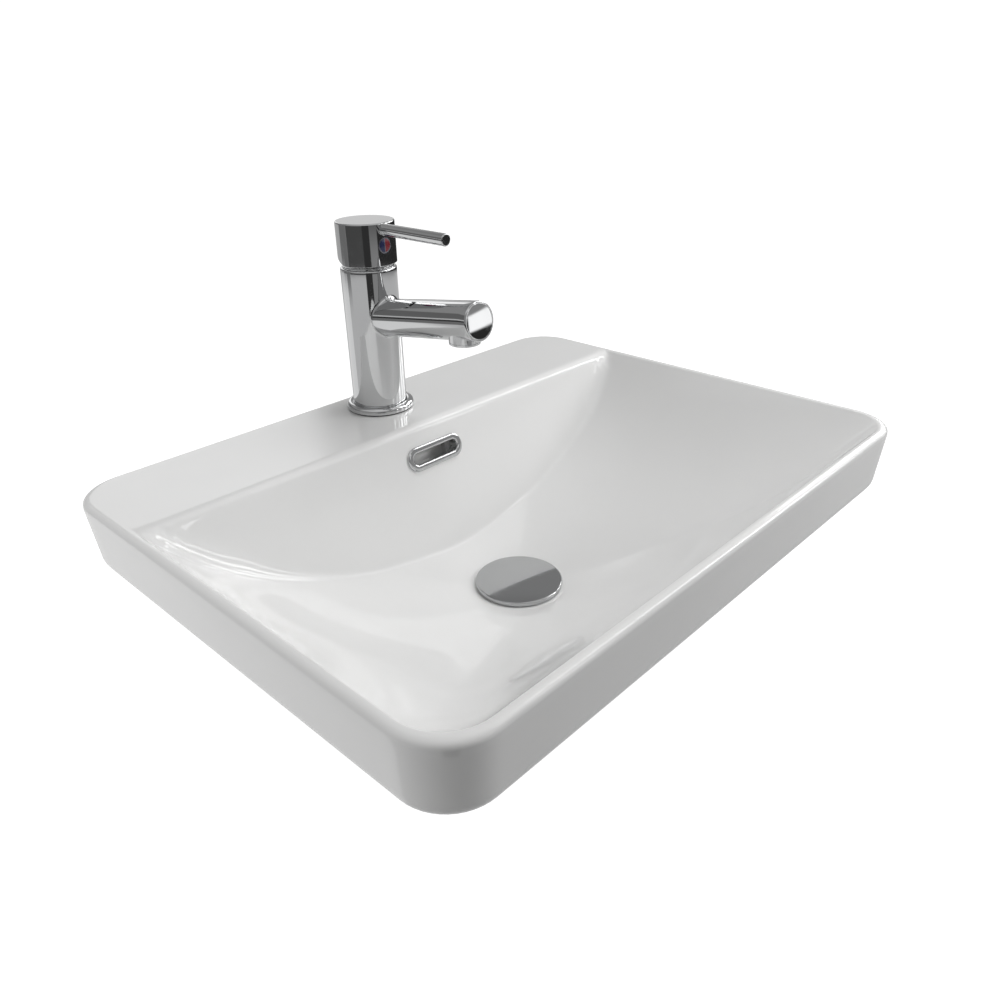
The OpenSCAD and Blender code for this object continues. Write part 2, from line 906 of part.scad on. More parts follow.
module fixing_nut() {
    color(brass)
        at_stud(steel_shoe_z - stud_nut_h)
            difference() {
                cylinder(r = stud_nut_af / 2 / cos(30), h = stud_nut_h, $fn = 6);
                translate([0, 0, -past])
                    cylinder(d = stud_d + 0.2, h = stud_nut_h + 2 * past);
            }
}

// Cartridge. Heights here start at the top of the tap's body and are negative inside it.

seal_proud = 0.3;
base_bottom = -chamber_depth + seal_proud;
base_top = base_bottom + 2.7;
cartridge_r = cartridge_bore_r - free_gap;
housing_bore_r = cartridge_r - 3.2;
housing_top = -nut_depth;
housing_roof_t = 2;
disc_t = 3.4;
fixed_disc_top = base_top + disc_t;
moving_disc_bottom = fixed_disc_top + 0.1;
moving_disc_top = moving_disc_bottom + 3;
moving_disc_r = 9.5;
driver_top = -12.4;
rotor_bottom = -12;
rotor_shoulder = housing_top - housing_roof_t - 0.15;
rotor_flange_r = housing_bore_r - 0.5;
rotor_neck_r = 10;
rotor_top = 5;
pivot_h = 1;
pin_r = 1.5;
spindle_w = 8;
ball_r = 3;
ball_h = -13.6;
stem_r = 2.2;
// How far the moving disc travels when the handle lifts, half on each side of the axis
disc_travel = (pivot_h - ball_h) * sin(lift_angle);
seal_r = outlet_r + 1.6;
seal_groove = 0.8;
cap_foot = cap_gap;

module at_top(h) {
    at_tap(body_h + h)
        children();
}

// Repeats what follows at the hot, cold and outlet ports
module at_ports() {
    for (p = [[-inlet_x, inlet_y], [inlet_x, inlet_y], [0, outlet_y]])
        translate([p.x, p.y, 0])
            children();
}

module cartridge_base() {
    color(plastic)
        at_top(base_bottom)
            difference() {
                cylinder(r = cartridge_r, h = base_top - base_bottom);
                at_ports()
                    translate([0, 0, -past])
                        cylinder(r = inlet_r, h = base_top - base_bottom + 2 * past);
                at_ports()
                    translate([0, 0, -past])
                        cylinder(r = seal_r + seat, h = past + seal_groove);
            }
}

module cartridge_seals() {
    color(rubber)
        at_top(-chamber_depth)
            at_ports()
                washer(seal_r, outlet_r + 0.2, seal_proud + seal_groove);
}

module cartridge_fixed_disc() {
    color(glaze)
        at_top(base_top)
            difference() {
                cylinder(r = housing_bore_r - 0.2, h = disc_t);
                at_ports()
                    translate([0, 0, -past])
                        cylinder(r = inlet_r - 0.6, h = disc_t + 2 * past);
            }
}

// The moving disc, with the hollow that joins the ports when the handle is lifted
module cartridge_moving_disc() {
    color(glaze)
        at_top(moving_disc_bottom)
            translate([0, disc_travel / 2, 0])
                difference() {
                    cylinder(r = moving_disc_r, h = moving_disc_top - moving_disc_bottom);
                    translate([0, 0, -past])
                        cylinder(r = moving_disc_r - 3.5, h = past + 1.4);
                }
}

module cartridge_disc_driver() {
    color(plastic)
        at_top(moving_disc_top)
            difference() {
                translate([0, disc_travel / 2, 0])
                    cylinder(r = moving_disc_r, h = driver_top - moving_disc_top);
                translate([0, 0, 0.5])
                    cylinder(r = ball_r + 0.15, h = driver_top - moving_disc_top);
            }
}

// The shell round the discs and the rotor
module cartridge_housing() {
    color(plastic)
        at_top(base_top)
            difference() {
                cylinder(r = cartridge_r, h = housing_top - base_top);
                translate([0, 0, -past])
                    cylinder(r = housing_bore_r, h = housing_top - housing_roof_t - base_top + past);
                cylinder(r = rotor_neck_r + running, h = housing_top - base_top + past);
            }
}

// The rotor turns with the handle and carries the spindle on a cross pin
module cartridge_rotor() {
    upper_y = 6.4;
    upper_x = spindle_w / 2 + free_gap;
    lower_back = 3.6;
    lower_front = 8.8;
    lower_x = ball_r + 0.4;
    color(plastic)
        at_top(0)
            difference() {
                union() {
                    translate([0, 0, rotor_bottom])
                        cylinder(r = rotor_flange_r, h = rotor_shoulder - rotor_bottom);
                    translate([0, 0, rotor_bottom])
                        cylinder(r = rotor_neck_r, h = rotor_top - rotor_bottom);
                }
                translate([-upper_x, -upper_y, housing_top])
                    cube([2 * upper_x, 2 * upper_y, rotor_top - housing_top + past]);
                translate([-lower_x, -lower_front, rotor_bottom - past])
                    cube([2 * lower_x, lower_front + lower_back, housing_top - rotor_bottom + 2 * past]);
                translate([0, 0, pivot_h])
                    rotate([0, 90, 0])
                        cylinder(r = pin_r + seat, h = 4 * rotor_neck_r, center = true);
            }
}

module spindle_pin() {
    color(steel)
        at_top(pivot_h)
            rotate([0, 90, 0])
                cylinder(r = pin_r, h = 2 * rotor_neck_r - 2, center = true);
}

socket_top = 24.6;

// The lever stem: a square shank in the cap, the pivot bore and the ball that drives the disc
module cartridge_spindle() {
    shank_bottom = -4;
    color(steel)
        at_top(0)
            difference() {
                union() {
                    translate([-spindle_w / 2, -spindle_w / 2, shank_bottom])
                        cube([spindle_w, spindle_w, cap_foot + socket_top - 0.2 - shank_bottom]);
                    translate([0, 0, ball_h])
                        cylinder(r = stem_r, h = shank_bottom - ball_h + 0.5);
                    translate([0, 0, ball_h])
                        sphere(r = ball_r);
                }
                translate([0, 0, pivot_h])
                    rotate([0, 90, 0])
                        cylinder(r = pin_r + running, h = 2 * spindle_w, center = true);
            }
}

// The ring nut that clamps the cartridge, with four notches for its spanner
module cartridge_nut() {
    nut_inner_r = rotor_neck_r + 2;
    notch = 3;
    color(brass)
        at_top(housing_top)
            difference() {
                washer(nut_bore_r - seat, nut_inner_r, nut_depth - 0.5);
                for (a = [45 : 90 : 315])
                    rotate([0, 0, a])
                        translate([nut_inner_r - past, -notch / 2, nut_depth - 2.5])
                            cube([past + 2.5, notch, 3]);
            }
}

// The thin polished ring in the gap between body and handle
module cover_ring() {
    cover_r = nut_bore_r + 1.4;
    cover_t = 1.6;
    color(chrome)
        at_top(0)
            difference() {
                union() {
                    cylinder(r = cover_r, h = cover_t - 0.5);
                    translate([0, 0, cover_t - 0.5])
                        cylinder(r1 = cover_r, r2 = cover_r - 0.5, h = 0.5);
                    translate([0, 0, -0.4])
                        cylinder(r = nut_bore_r - 0.3, h = 1);
                }
                translate([0, 0, -past])
                    cylinder(r = rotor_neck_r + 2, h = cover_t + 2 * past);
            }
}

// Handle. Heights here start at the cap's lower edge.

cap_r = cap_d / 2;
cap_wall = 3.5;
hollow_h = 11;
collar_r = 8;
collar_bottom = 7;
screw_r = 2.5;
screw_l = 10;
indicator_t = 2;
lever_root = 13;

module at_cap(h) {
    at_top(cap_foot + h)
        children();
}

// The hollow cap, cut away at the back so that it can tip
module handle_cap() {
    edge = 1;
    cut = lift_angle + 2;
    color(chrome)
        difference() {
            at_cap(0)
                rotate_extrude()
                    polygon(concat(
                        [[0, 0], [cap_r - 0.4, 0], [cap_r, 0.4]],
                        [for (a = [0 : 30 : 90])
                            [cap_r - edge * (1 - cos(a)), cap_h - edge * (1 - sin(a))]],
                        [[0, cap_h]]
                    ));
            at_cap(-past)
                washer(cap_r - cap_wall, collar_r, hollow_h + past);
            at_cap(-past)
                cylinder(r = collar_r + past, h = collar_bottom + past);
            at_cap(0)
                translate([-cap_d, 0, 0])
                    rotate([cut, 0, 0])
                        translate([0, 0, -cap_h])
                            cube([2 * cap_d, 2 * cap_d, cap_h]);
            at_cap(collar_bottom - past)
                translate([-spindle_w / 2 - seat, -spindle_w / 2 - seat, 0])
                    cube([spindle_w + 2 * seat, spindle_w + 2 * seat, socket_top - collar_bottom + past]);
            at_cap(lever_h)
                translate([0, -lever_root, 0])
                    rotate([90, 0, 0])
                        cylinder(d = lever_d + 2 * seat, h = cap_r);
            at_cap(indicator_h)
                rotate([90, 0, 0])
                    cylinder(r = screw_r + seat, h = cap_r);
            at_cap(indicator_h)
                translate([0, -cap_r + indicator_t, 0])
                    rotate([90, 0, 0])
                        cylinder(d = indicator_d + 2 * seat, h = 2 * indicator_t);
        }
}

module handle_lever() {
    edge = 0.6;
    lever_r = lever_d / 2;
    color(chrome)
        at_cap(lever_h)
            rotate([90, 0, 0])
                translate([0, 0, lever_root + seat])
                    union() {
                        cylinder(r = lever_r, h = lever_reach - lever_root - seat - edge);
                        translate([0, 0, lever_reach - lever_root - seat - edge])
                            cylinder(r1 = lever_r, r2 = lever_r - edge, h = edge);
                    }
}

// The set screw that clamps the spindle in the cap, with its hexagon socket
module handle_grub_screw() {
    color(steel)
        at_cap(indicator_h)
            rotate([90, 0, 0])
                translate([0, 0, spindle_w / 2])
                    difference() {
                        cylinder(r = screw_r, h = screw_l);
                        translate([0, 0, screw_l - 3])
                            cylinder(r = 1.4, h = 3 + past, $fn = 6);
                    }
}

// The round plug over the set screw, which bears the hot and cold mark
module indicator_plug() {
    color([0.75, 0.10, 0.12])
        at_cap(indicator_h)
            rotate([90, 0, 0])
                translate([0, 0, cap_r - indicator_t + seat])
                    cylinder(d = indicator_d, h = indicator_t - 0.3);
}

basin();
overflow_ring();
waste_body();
waste_flange_seal();
waste_lower_seal();
waste_slip_washer();
waste_backnut();
click_housing();
click_plunger();
plug_cap();
plug_seal();
tap_gasket();
tap_base_ring();
tap_body();
spout_end_plug();
aerator_housing();
aerator_insert();
aerator_washer();
fixing_stud();
fixing_rubber_shoe();
fixing_steel_shoe();
fixing_nut();
cartridge_base();
cartridge_seals();
cartridge_fixed_disc();
cartridge_moving_disc();
cartridge_disc_driver();
cartridge_housing();
cartridge_rotor();
cartridge_spindle();
spindle_pin();
cartridge_nut();
cover_ring();
handle_cap();
handle_lever();
handle_grub_screw();
indicator_plug();
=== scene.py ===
"""Inset basin with a single-lever mixer tap and a press-to-open waste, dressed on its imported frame.

Lengths in the builders are in millimetres, in the frame's own axes: the origin is the centre of the
counter cut-out, +Z is up and +Y is the tap side. Meshes are scaled to metres when they are finished.
"""

import logging
import math
from collections.abc import Sequence
from dataclasses import dataclass, field
from enum import Enum

import bmesh
import bpy
import numpy as np
from mathutils import Matrix, Vector

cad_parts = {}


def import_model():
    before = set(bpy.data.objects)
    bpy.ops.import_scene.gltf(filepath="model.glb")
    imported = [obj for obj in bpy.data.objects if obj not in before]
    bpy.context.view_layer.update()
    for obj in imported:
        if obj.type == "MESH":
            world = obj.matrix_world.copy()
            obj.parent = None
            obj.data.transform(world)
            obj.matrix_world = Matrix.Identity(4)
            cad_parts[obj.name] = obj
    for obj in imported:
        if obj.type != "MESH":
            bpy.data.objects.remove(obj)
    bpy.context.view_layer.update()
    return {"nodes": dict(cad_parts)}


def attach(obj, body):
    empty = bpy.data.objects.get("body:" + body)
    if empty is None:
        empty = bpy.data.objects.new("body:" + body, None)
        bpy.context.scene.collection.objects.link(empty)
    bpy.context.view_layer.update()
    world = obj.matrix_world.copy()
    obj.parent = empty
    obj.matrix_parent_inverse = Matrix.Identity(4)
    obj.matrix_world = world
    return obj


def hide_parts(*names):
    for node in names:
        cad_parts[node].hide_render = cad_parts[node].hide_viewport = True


LOG = logging.getLogger("basin")
MM = 0.001
MERGE = 1e-4  # millimetres within which points become one
TINY = 1e-9  # keeps a division from dividing by nothing
EYE = 0.01  # radius of the hole that is filled in the middle of a flat end
TURNED_ANGLE = 40.0  # degrees up to which a turned piece shades smooth
NUT_ANGLE = 30.0  # the same for pieces with flats
PLAY = 0.05  # millimetres between pieces that fit into each other
OVER = 1.0  # millimetres that a cutter stands past the face it cuts
BORE_SIDES = 48
HOLE_SIDES = 64
PART_SIDES = 96
BODY_SIDES = 112
FACE_SIDES = 160

Point = Sequence[float]
Number = "float | Wire"


class Body(Enum):
    """The bodies of the frame that rebuilt pieces ride on."""

    UNIT = "basin_unit"
    HANDLE = "handle"
    PLUG = "plug"


class Cut(Enum):
    """How a cutter changes the piece it is used on."""

    AWAY = "DIFFERENCE"
    JOIN = "UNION"


# Places and profiles


def move(x: float = 0.0, y: float = 0.0, z: float = 0.0) -> Matrix:
    """A shift in millimetres."""
    return Matrix.Translation((x, y, z))


def turn(angle: float, axis: str) -> Matrix:
    """A turn round an axis, in degrees."""
    return Matrix.Rotation(math.radians(angle), 4, axis)

def smooth_max(a: np.ndarray, b: np.ndarray, width: np.ndarray) -> np.ndarray:
    """The greater of two heights, blended where they are close.

    Args:
        a: One set of heights.
        b: The other set of heights.
        width: How close the two are where the blend begins; zero gives a plain maximum.

    Returns:
        The blended heights.
    """
    safe = np.maximum(width, TINY)
    h = np.clip(safe - np.abs(a - b), 0.0, None) / safe
    return np.maximum(a, b) + h * h * safe / 4.0


def arc(centre: Point, radius: float, start: float, end: float, steps: int) -> list[tuple[float, float]]:
    """Points on an arc in a plane.

    Args:
        centre: The arc's centre.
        radius: The arc's radius.
        start: The angle of the first point, in degrees.
        end: The angle of the last point, in degrees.
        steps: The number of stretches.

    Returns:
        steps + 1 points.
    """
    angles = np.radians(np.linspace(start, end, steps + 1))
    return [(centre[0] + radius * math.cos(a), centre[1] + radius * math.sin(a)) for a in angles]


def soften(corners: Sequence[Sequence[float]], steps: int = 5) -> list[tuple[float, float]]:
    """Rounds the corners of a profile.

    Args:
        corners: The profile's corners as (x, y) or (x, y, radius).
        steps: The number of stretches in each rounding.

    Returns:
        The profile's points.
    """
    out: list[tuple[float, float]] = []
    last = len(corners) - 1
    for i, corner in enumerate(corners):
        p = Vector(corner[:2])
        radius = corner[2] if len(corner) > 2 else 0.0
        if radius <= 0.0 or i in (0, last):
            out.append((p.x, p.y))
            continue
        a = (Vector(corners[i - 1][:2]) - p).normalized()
        b = (Vector(corners[i + 1][:2]) - p).normalized()
        half = a.angle(b) / 2.0
        centre = p + (a + b).normalized() * (radius / math.sin(half))
        first = p + a * (radius / math.tan(half)) - centre
        second = p + b * (radius / math.tan(half)) - centre
        for t in np.linspace(0.0, 1.0, steps + 1):
            way = first.slerp(second, float(t)).normalized() * radius
            out.append((centre.x + way.x, centre.y + way.y))
    return out


def polygon(corner: float, sides: int, first: float) -> list[tuple[float, float]]:
    """A nut's outline, from its corners' radius and the first corner's angle in degrees."""
    angles = np.radians(first + np.arange(sides) * 360.0 / sides)
    return [(corner * math.cos(a), corner * math.sin(a)) for a in angles]


def thread(
    root: float, crest: float, low: float, pitch: float, count: int, shares: Sequence[float]
) -> list[tuple[float, float]]:
    """The roots and crests of a thread, upwards.

    Args:
        root: The radius of the roots.
        crest: The radius of the crests.
        low: The height of the first turn.
        pitch: The height of a turn.
        count: The number of turns.
        shares: The shares of a turn at which the root ends, the crest starts and ends, and the root starts.

    Returns:
        The profile's points.
    """
    radii = (root, crest, crest, root)
    return [(r, low + (i + share) * pitch) for i in range(count) for r, share in zip(radii, shares)]


# Meshes


class Mould:
    """A mesh in the making, in millimetres."""

    def __init__(self) -> None:
        """Starts an empty mesh."""
        self.bm = bmesh.new()

    def grid(self, rows: np.ndarray, loop: bool = False) -> None:
        """Adds a surface that closes round its columns.

        Args:
            rows: Points as an array of rows, columns and three coordinates.
            loop: Whether the last row joins the first.
        """
        shape = np.concatenate([rows, rows[:1]]) if loop else rows
        shape = np.concatenate([shape, shape[:, :1]], axis=1)
        count_r, count_c = shape.shape[:2]
        made = bmesh.ops.create_grid(
            self.bm, x_segments=count_c - 1, y_segments=count_r - 1, size=1.0
        )["verts"]
        for vert, co in zip(made, shape.reshape(-1, 3)):
            vert.co = co

    def spin(self, profile: Sequence[Point], steps: int) -> "Mould":
        """Turns a profile of (radius, height) once round the Z axis.

        Args:
            profile: The profile's points.
            steps: The number of steps in the turn.

        Returns:
            This mesh.
        """
        verts = [self.bm.verts.new((p[0], 0.0, p[1])) for p in profile]
        edges = [self.bm.edges.new(pair) for pair in zip(verts, verts[1:])]
        bmesh.ops.spin(
            self.bm, geom=verts + edges, cent=(0, 0, 0), axis=(0, 0, 1), dvec=(0, 0, 0),
            angle=math.radians(360.0), steps=steps, use_merge=True,
        )
        return self

    def rod(self, radius: float, low: float, high: float, sides: int) -> "Mould":
        """Adds a round bar along Z between two heights, with closed ends."""
        return self.spin([(0.0, low), (radius, low), (radius, high), (0.0, high)], sides)

    def prism(self, outline: Sequence[Point], low: float, high: float) -> "Mould":
        """Adds an upright prism on an outline of (x, y), between two heights."""
        verts = [self.bm.verts.new((p[0], p[1], low)) for p in outline]
        face = self.bm.faces.new(verts)
        made = bmesh.ops.extrude_face_region(self.bm, geom=[face])["geom"]
        moved = [g for g in made if isinstance(g, bmesh.types.BMVert)]
        bmesh.ops.translate(self.bm, verts=moved, vec=(0, 0, high - low))
        return self

    def block(self, low: Point, high: Point) -> "Mould":
        """Adds a box between two corners."""
        made = bmesh.ops.create_cube(self.bm, size=1.0)["verts"]
        a, b = Vector(low), Vector(high)
        bmesh.ops.scale(self.bm, verts=made, vec=b - a)
        bmesh.ops.translate(self.bm, verts=made, vec=(a + b) / 2.0)
        return self

    def place(self, matrix: Matrix) -> "Mould":
        """Moves everything made so far."""
        bmesh.ops.transform(self.bm, matrix=matrix, verts=self.bm.verts)
        return self

    def close(self, solid: bool) -> None:
        """Merges doubles, closes a solid's open ends and turns the faces outwards."""
        bmesh.ops.remove_doubles(self.bm, verts=self.bm.verts, dist=MERGE)
        bmesh.ops.dissolve_degenerate(self.bm, edges=self.bm.edges, dist=MERGE)
        if solid:
            bmesh.ops.holes_fill(self.bm, edges=[e for e in self.bm.edges if e.is_boundary], sides=0)
        bmesh.ops.recalc_face_normals(self.bm, faces=self.bm.faces)

    def finish(
        self, name: str, smooth_angle: float = TURNED_ANGLE, solid: bool = True
    ) -> bpy.types.Object:
        """Turns the mesh into an object in metres.

        Args:
            name: The object's name.
            smooth_angle: Edges that turn less than this, in degrees, shade smooth.
            solid: Whether the mesh is a solid and not a sheet.

        Returns:
            The new object, which is linked to the scene.
        """
        self.close(solid)
        bmesh.ops.scale(self.bm, verts=self.bm.verts, vec=(MM, MM, MM))
        mesh = bpy.data.meshes.new(name)
        self.bm.to_mesh(mesh)
        self.bm.free()
        obj = bpy.data.objects.new(name, mesh)
        bpy.context.scene.collection.objects.link(obj)
        shade(obj, smooth_angle)
        return obj


def shade(obj: bpy.types.Object, angle: float) -> None:
    """Shades an object smooth, with sharp edges where faces turn more than an angle in degrees."""
    obj.data.polygons.foreach_set("use_smooth", [True] * len(obj.data.polygons))
    obj.data.set_sharp_from_angle(angle=math.radians(angle))
    obj.data.update()


def true_walls(obj: bpy.types.Object) -> bpy.types.Object:
    """Lets large faces set the normals, so that straight walls beside roundings mirror true."""
    change = obj.modifiers.new("true_walls", "WEIGHTED_NORMAL")
    change.keep_sharp = True
    return obj


def apply_modifiers(obj: bpy.types.Object) -> None:
    """Writes an object's modifiers into its mesh."""
    graph = bpy.context.evaluated_depsgraph_get()
    mesh = bpy.data.meshes.new_from_object(obj.evaluated_get(graph))
    obj.modifiers.clear()
    old, obj.data = obj.data, mesh
    bpy.data.meshes.remove(old)


def carve(
    obj: bpy.types.Object, cutters: Sequence[Mould], angle: float = TURNED_ANGLE, how: Cut = Cut.AWAY
) -> None:
    """Cuts shapes out of a piece, or joins them to it.

    Args:
        obj: The piece.
        cutters: The shapes, each a closed mesh.
        angle: The angle up to which the result shades smooth, in degrees.
        how: Whether the shapes are cut away or joined.
    """
    for i, cutter in enumerate(cutters):
        tool = cutter.finish(f"cutter_{i}")
        change = obj.modifiers.new("cut", "BOOLEAN")
        change.operation = how.value
        change.solver = "MANIFOLD"
        change.object = tool
        apply_modifiers(obj)
        bpy.data.objects.remove(tool)
    shade(obj, angle)


def dress(
    obj: bpy.types.Object, body: Body, finish: "Finish", replaces: Sequence[str]
) -> bpy.types.Object:
    """Gives a new piece its finish and the body it rides on.

    Args:
        obj: The piece.
        body: The body that it moves with.
        finish: Its finish.
        replaces: The frame's nodes that it stands for.

    Returns:
        The piece.
    """
    obj.data.materials.clear()
    obj.data.materials.append(finish.material())
    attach(obj, body.value)
    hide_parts(*replaces)
    LOG.info("%s: %d faces, %s, on %s", obj.name, len(obj.data.polygons), finish.slot, body.value)
    return obj


# Shader nodes


def feed(tree: bpy.types.NodeTree, socket: bpy.types.NodeSocket, value: object) -> None:
    """Links a wire or socket to an input, or sets the input to a plain value."""
    source = value.socket if isinstance(value, Wire) else value
    if isinstance(source, bpy.types.NodeSocket):
        tree.links.new(source, socket)
    else:
        socket.default_value = source

class Wire:
    """A shader value that takes part in sums like a number."""

    def __init__(self, tree: bpy.types.NodeTree, socket: bpy.types.NodeSocket) -> None:
        """Holds an output socket of a tree."""
        self.tree = tree
        self.socket = socket

    def sum(self, operation: str, *values: Number) -> "Wire":
        """Runs one operation of the Math node.

        Args:
            operation: The node's operation.
            values: Its inputs, as wires or numbers.

        Returns:
            The result.
        """
        node = self.tree.nodes.new("ShaderNodeMath")
        node.operation = operation
        for slot, value in zip(node.inputs, values):
            feed(self.tree, slot, value)
        return Wire(self.tree, node.outputs[0])

    def __add__(self, other: Number) -> "Wire":
        """self + other."""
        return self.sum("ADD", self, other)

    def __radd__(self, other: Number) -> "Wire":
        """other + self."""
        return self.sum("ADD", other, self)

    def __sub__(self, other: Number) -> "Wire":
        """self - other."""
        return self.sum("SUBTRACT", self, other)

    def __rsub__(self, other: Number) -> "Wire":
        """other - self."""
        return self.sum("SUBTRACT", other, self)

    def __mul__(self, other: Number) -> "Wire":
        """self * other."""
        return self.sum("MULTIPLY", self, other)

    def __rmul__(self, other: Number) -> "Wire":
        """other * self."""
        return self.sum("MULTIPLY", other, self)

    def __truediv__(self, other: Number) -> "Wire":
        """self / other."""
        return self.sum("DIVIDE", self, other)

    def __rtruediv__(self, other: Number) -> "Wire":
        """other / self."""
        return self.sum("DIVIDE", other, self)

    def __pow__(self, other: Number) -> "Wire":
        """self to the power other."""
        return self.sum("POWER", self, other)

    def __rpow__(self, other: Number) -> "Wire":
        """other to the power self."""
        return self.sum("POWER", other, self)

    def __abs__(self) -> "Wire":
        """The size of self."""
        return self.sum("ABSOLUTE", self)

    def __lt__(self, other: Number) -> "Wire":
        """1 where self is less than other, and 0 elsewhere."""
        return self.sum("LESS_THAN", self, other)

    def __gt__(self, other: Number) -> "Wire":
        """1 where self is more than other, and 0 elsewhere."""
        return self.sum("GREATER_THAN", self, other)

    def ramp(self, low: float, high: float, start: float = 0.0, end: float = 1.0) -> "Wire":
        """Runs smoothly from start to end as self goes from low to high."""
        t = self.sum("SMOOTH_MIN", (self - low) / (high - low), 1.0, 0.0)
        t = self.sum("MAXIMUM", t, 0.0)
        return (t * t * (3.0 - 2.0 * t)) * (end - start) + start


class Recipe:
    """The node tree of one material or of the world."""

    def __init__(self, tree: bpy.types.NodeTree) -> None:
        """Empties the tree and keeps it."""
        self.tree = tree
        self.tree.nodes.clear()

    def node(
        self,
        kind: str,
        settings: dict[str, object] | None = None,
        inputs: dict[str | int, object] | None = None,
    ) -> bpy.types.Node:
        """Adds a node.

        Args:
            kind: The node's type.
            settings: The node's own settings.
            inputs: Its input sockets by name or number, as wires, sockets or plain values.

        Returns:
            The node.
        """
        made = self.tree.nodes.new(kind)
        for key, value in (settings or {}).items():
            setattr(made, key, value)
        for key, value in (inputs or {}).items():
            feed(self.tree, made.inputs[key], value)
        return made

    def wire(self, node: bpy.types.Node, output: str | int = 0) -> Wire:
        """An output of a node, for sums."""
        return Wire(self.tree, node.outputs[output])

    def place(self) -> bpy.types.NodeSocket:
        """The place on the piece, in metres."""
        return self.node("ShaderNodeTexCoord").outputs["Object"]

    def parts(self, vector: bpy.types.NodeSocket) -> list[Wire]:
        """The x, y and z of a vector."""
        split = self.node("ShaderNodeSeparateXYZ", inputs={"Vector": vector})
        return [self.wire(split, i) for i in range(3)]

    def noise(self, vector: bpy.types.NodeSocket, scale: float, detail: float = 2.0) -> Wire:
        """Noise between 0 and 1 at a scale in turns a metre."""
        made = self.node(
            "ShaderNodeTexNoise", {"noise_dimensions": "3D"},
            {"Vector": vector, "Scale": scale, "Detail": detail, "Roughness": 0.5},
        )
        return self.wire(made, 0)

    def blend(self, share: Number, first: object, second: object) -> bpy.types.NodeSocket:
        """Mixes two colours.

        Args:
            share: The share of the second colour.
            first: One colour, or a socket.
            second: The other colour, or a socket.

        Returns:
            The mixed colour's socket.
        """
        made = self.node("ShaderNodeMix", {"data_type": "RGBA"}, {0: share, 6: first, 7: second})
        return made.outputs[2]

    def bump(self, height: Wire, distance: float, strength: float = 1.0) -> bpy.types.NodeSocket:
        """The normal of a surface raised by a height, at a distance in metres."""
        inputs = {"Strength": strength, "Distance": distance, "Height": height}
        return self.node("ShaderNodeBump", inputs=inputs).outputs[0]

    def principled(self, **inputs: object) -> bpy.types.Node:
        """Ends the tree in a Principled shader; underscores in the names stand for spaces."""
        shader = self.node(
            "ShaderNodeBsdfPrincipled", inputs={k.replace("_", " "): v for k, v in inputs.items()}
        )
        self.node("ShaderNodeOutputMaterial", inputs={"Surface": shader.outputs[0]})
        return shader


def rgba(r: float, g: float, b: float) -> tuple[float, float, float, float]:
    """An opaque colour."""
    return (r, g, b, 1.0)


@dataclass(frozen=True)
class Finish:
    """A finish, which makes its material once and shares it."""

    name: str
    slot: str

    def material(self) -> bpy.types.Material:
        """The material of this finish."""
        found = bpy.data.materials.get(self.name)
        if found:
            return found
        made = bpy.data.materials.new(self.name)
        made.use_nodes = True
        self.mix(Recipe(made.node_tree))
        return made

    def mix(self, recipe: Recipe) -> None:
        """Builds the nodes of this finish."""
        raise NotImplementedError


@dataclass(frozen=True)
class Glaze(Finish):
    """White sanitary glaze: a soft white body under a clear, slightly uneven gloss."""

    white: tuple[float, float, float] = (0.80, 0.80, 0.795)

    def mix(self, recipe: Recipe) -> None:
        """Builds the nodes: faint clouding in the white and a faint waviness in the gloss."""
        place = recipe.place()
        cloud = recipe.noise(place, scale=9.0, detail=3.0)
        deep = tuple(c * 0.985 for c in self.white)
        recipe.principled(
            Base_Color=recipe.blend(cloud.ramp(0.35, 0.65), rgba(*deep), rgba(*self.white)),
            Roughness=recipe.noise(place, scale=60.0).ramp(0.2, 0.8, 0.30, 0.36),
            IOR=1.5,
            Specular_IOR_Level=0.15,
            Coat_Weight=0.86,
            Coat_Roughness=0.03,
            Coat_IOR=1.52,
            Normal=recipe.bump(recipe.noise(place, scale=26.0, detail=1.0), distance=0.00003),
        )


@dataclass(frozen=True)
class Chrome(Finish):
    """Bright chrome plate with the faint haze that handling leaves."""

    shade: tuple[float, float, float] = (0.62, 0.625, 0.63)
    polish: float = 0.035

    def mix(self, recipe: Recipe) -> None:
        """Builds the nodes: roughness varies in soft smudges."""
        place = recipe.place()
        haze = recipe.noise(place, scale=55.0, detail=3.0)
        fine = recipe.noise(place, scale=900.0)
        deep = tuple(c * 0.97 for c in self.shade)
        recipe.principled(
            Base_Color=recipe.blend(haze, rgba(*self.shade), rgba(*deep)),
            Metallic=1.0,
            Roughness=haze.ramp(0.45, 0.75, self.polish, self.polish * 2.2) + fine * 0.008,
        )


@dataclass(frozen=True)
class TurnedMetal(Finish):
    """Machined metal with the fine rings of the lathe and a little tarnish."""

    light: tuple[float, float, float] = (0.80, 0.64, 0.34)
    dark: tuple[float, float, float] = (0.58, 0.44, 0.22)
    rough: float = 0.26

    def mix(self, recipe: Recipe) -> None:
        """Builds the nodes: rings along the piece's height, and tarnish in patches."""
        place = recipe.place()
        stain = recipe.noise(place, scale=70.0, detail=4.0)
        height = recipe.node("ShaderNodeCombineXYZ", inputs={"Z": recipe.parts(place)[2] * 3200.0})
        rings = recipe.noise(height.outputs[0], scale=1.0)
        recipe.principled(
            Base_Color=recipe.blend(stain.ramp(0.4, 0.8), rgba(*self.light), rgba(*self.dark)),
            Metallic=1.0,
            Roughness=stain.ramp(0.3, 0.8, self.rough, self.rough + 0.16),
            Normal=recipe.bump(rings, distance=0.00004, strength=0.6),
        )


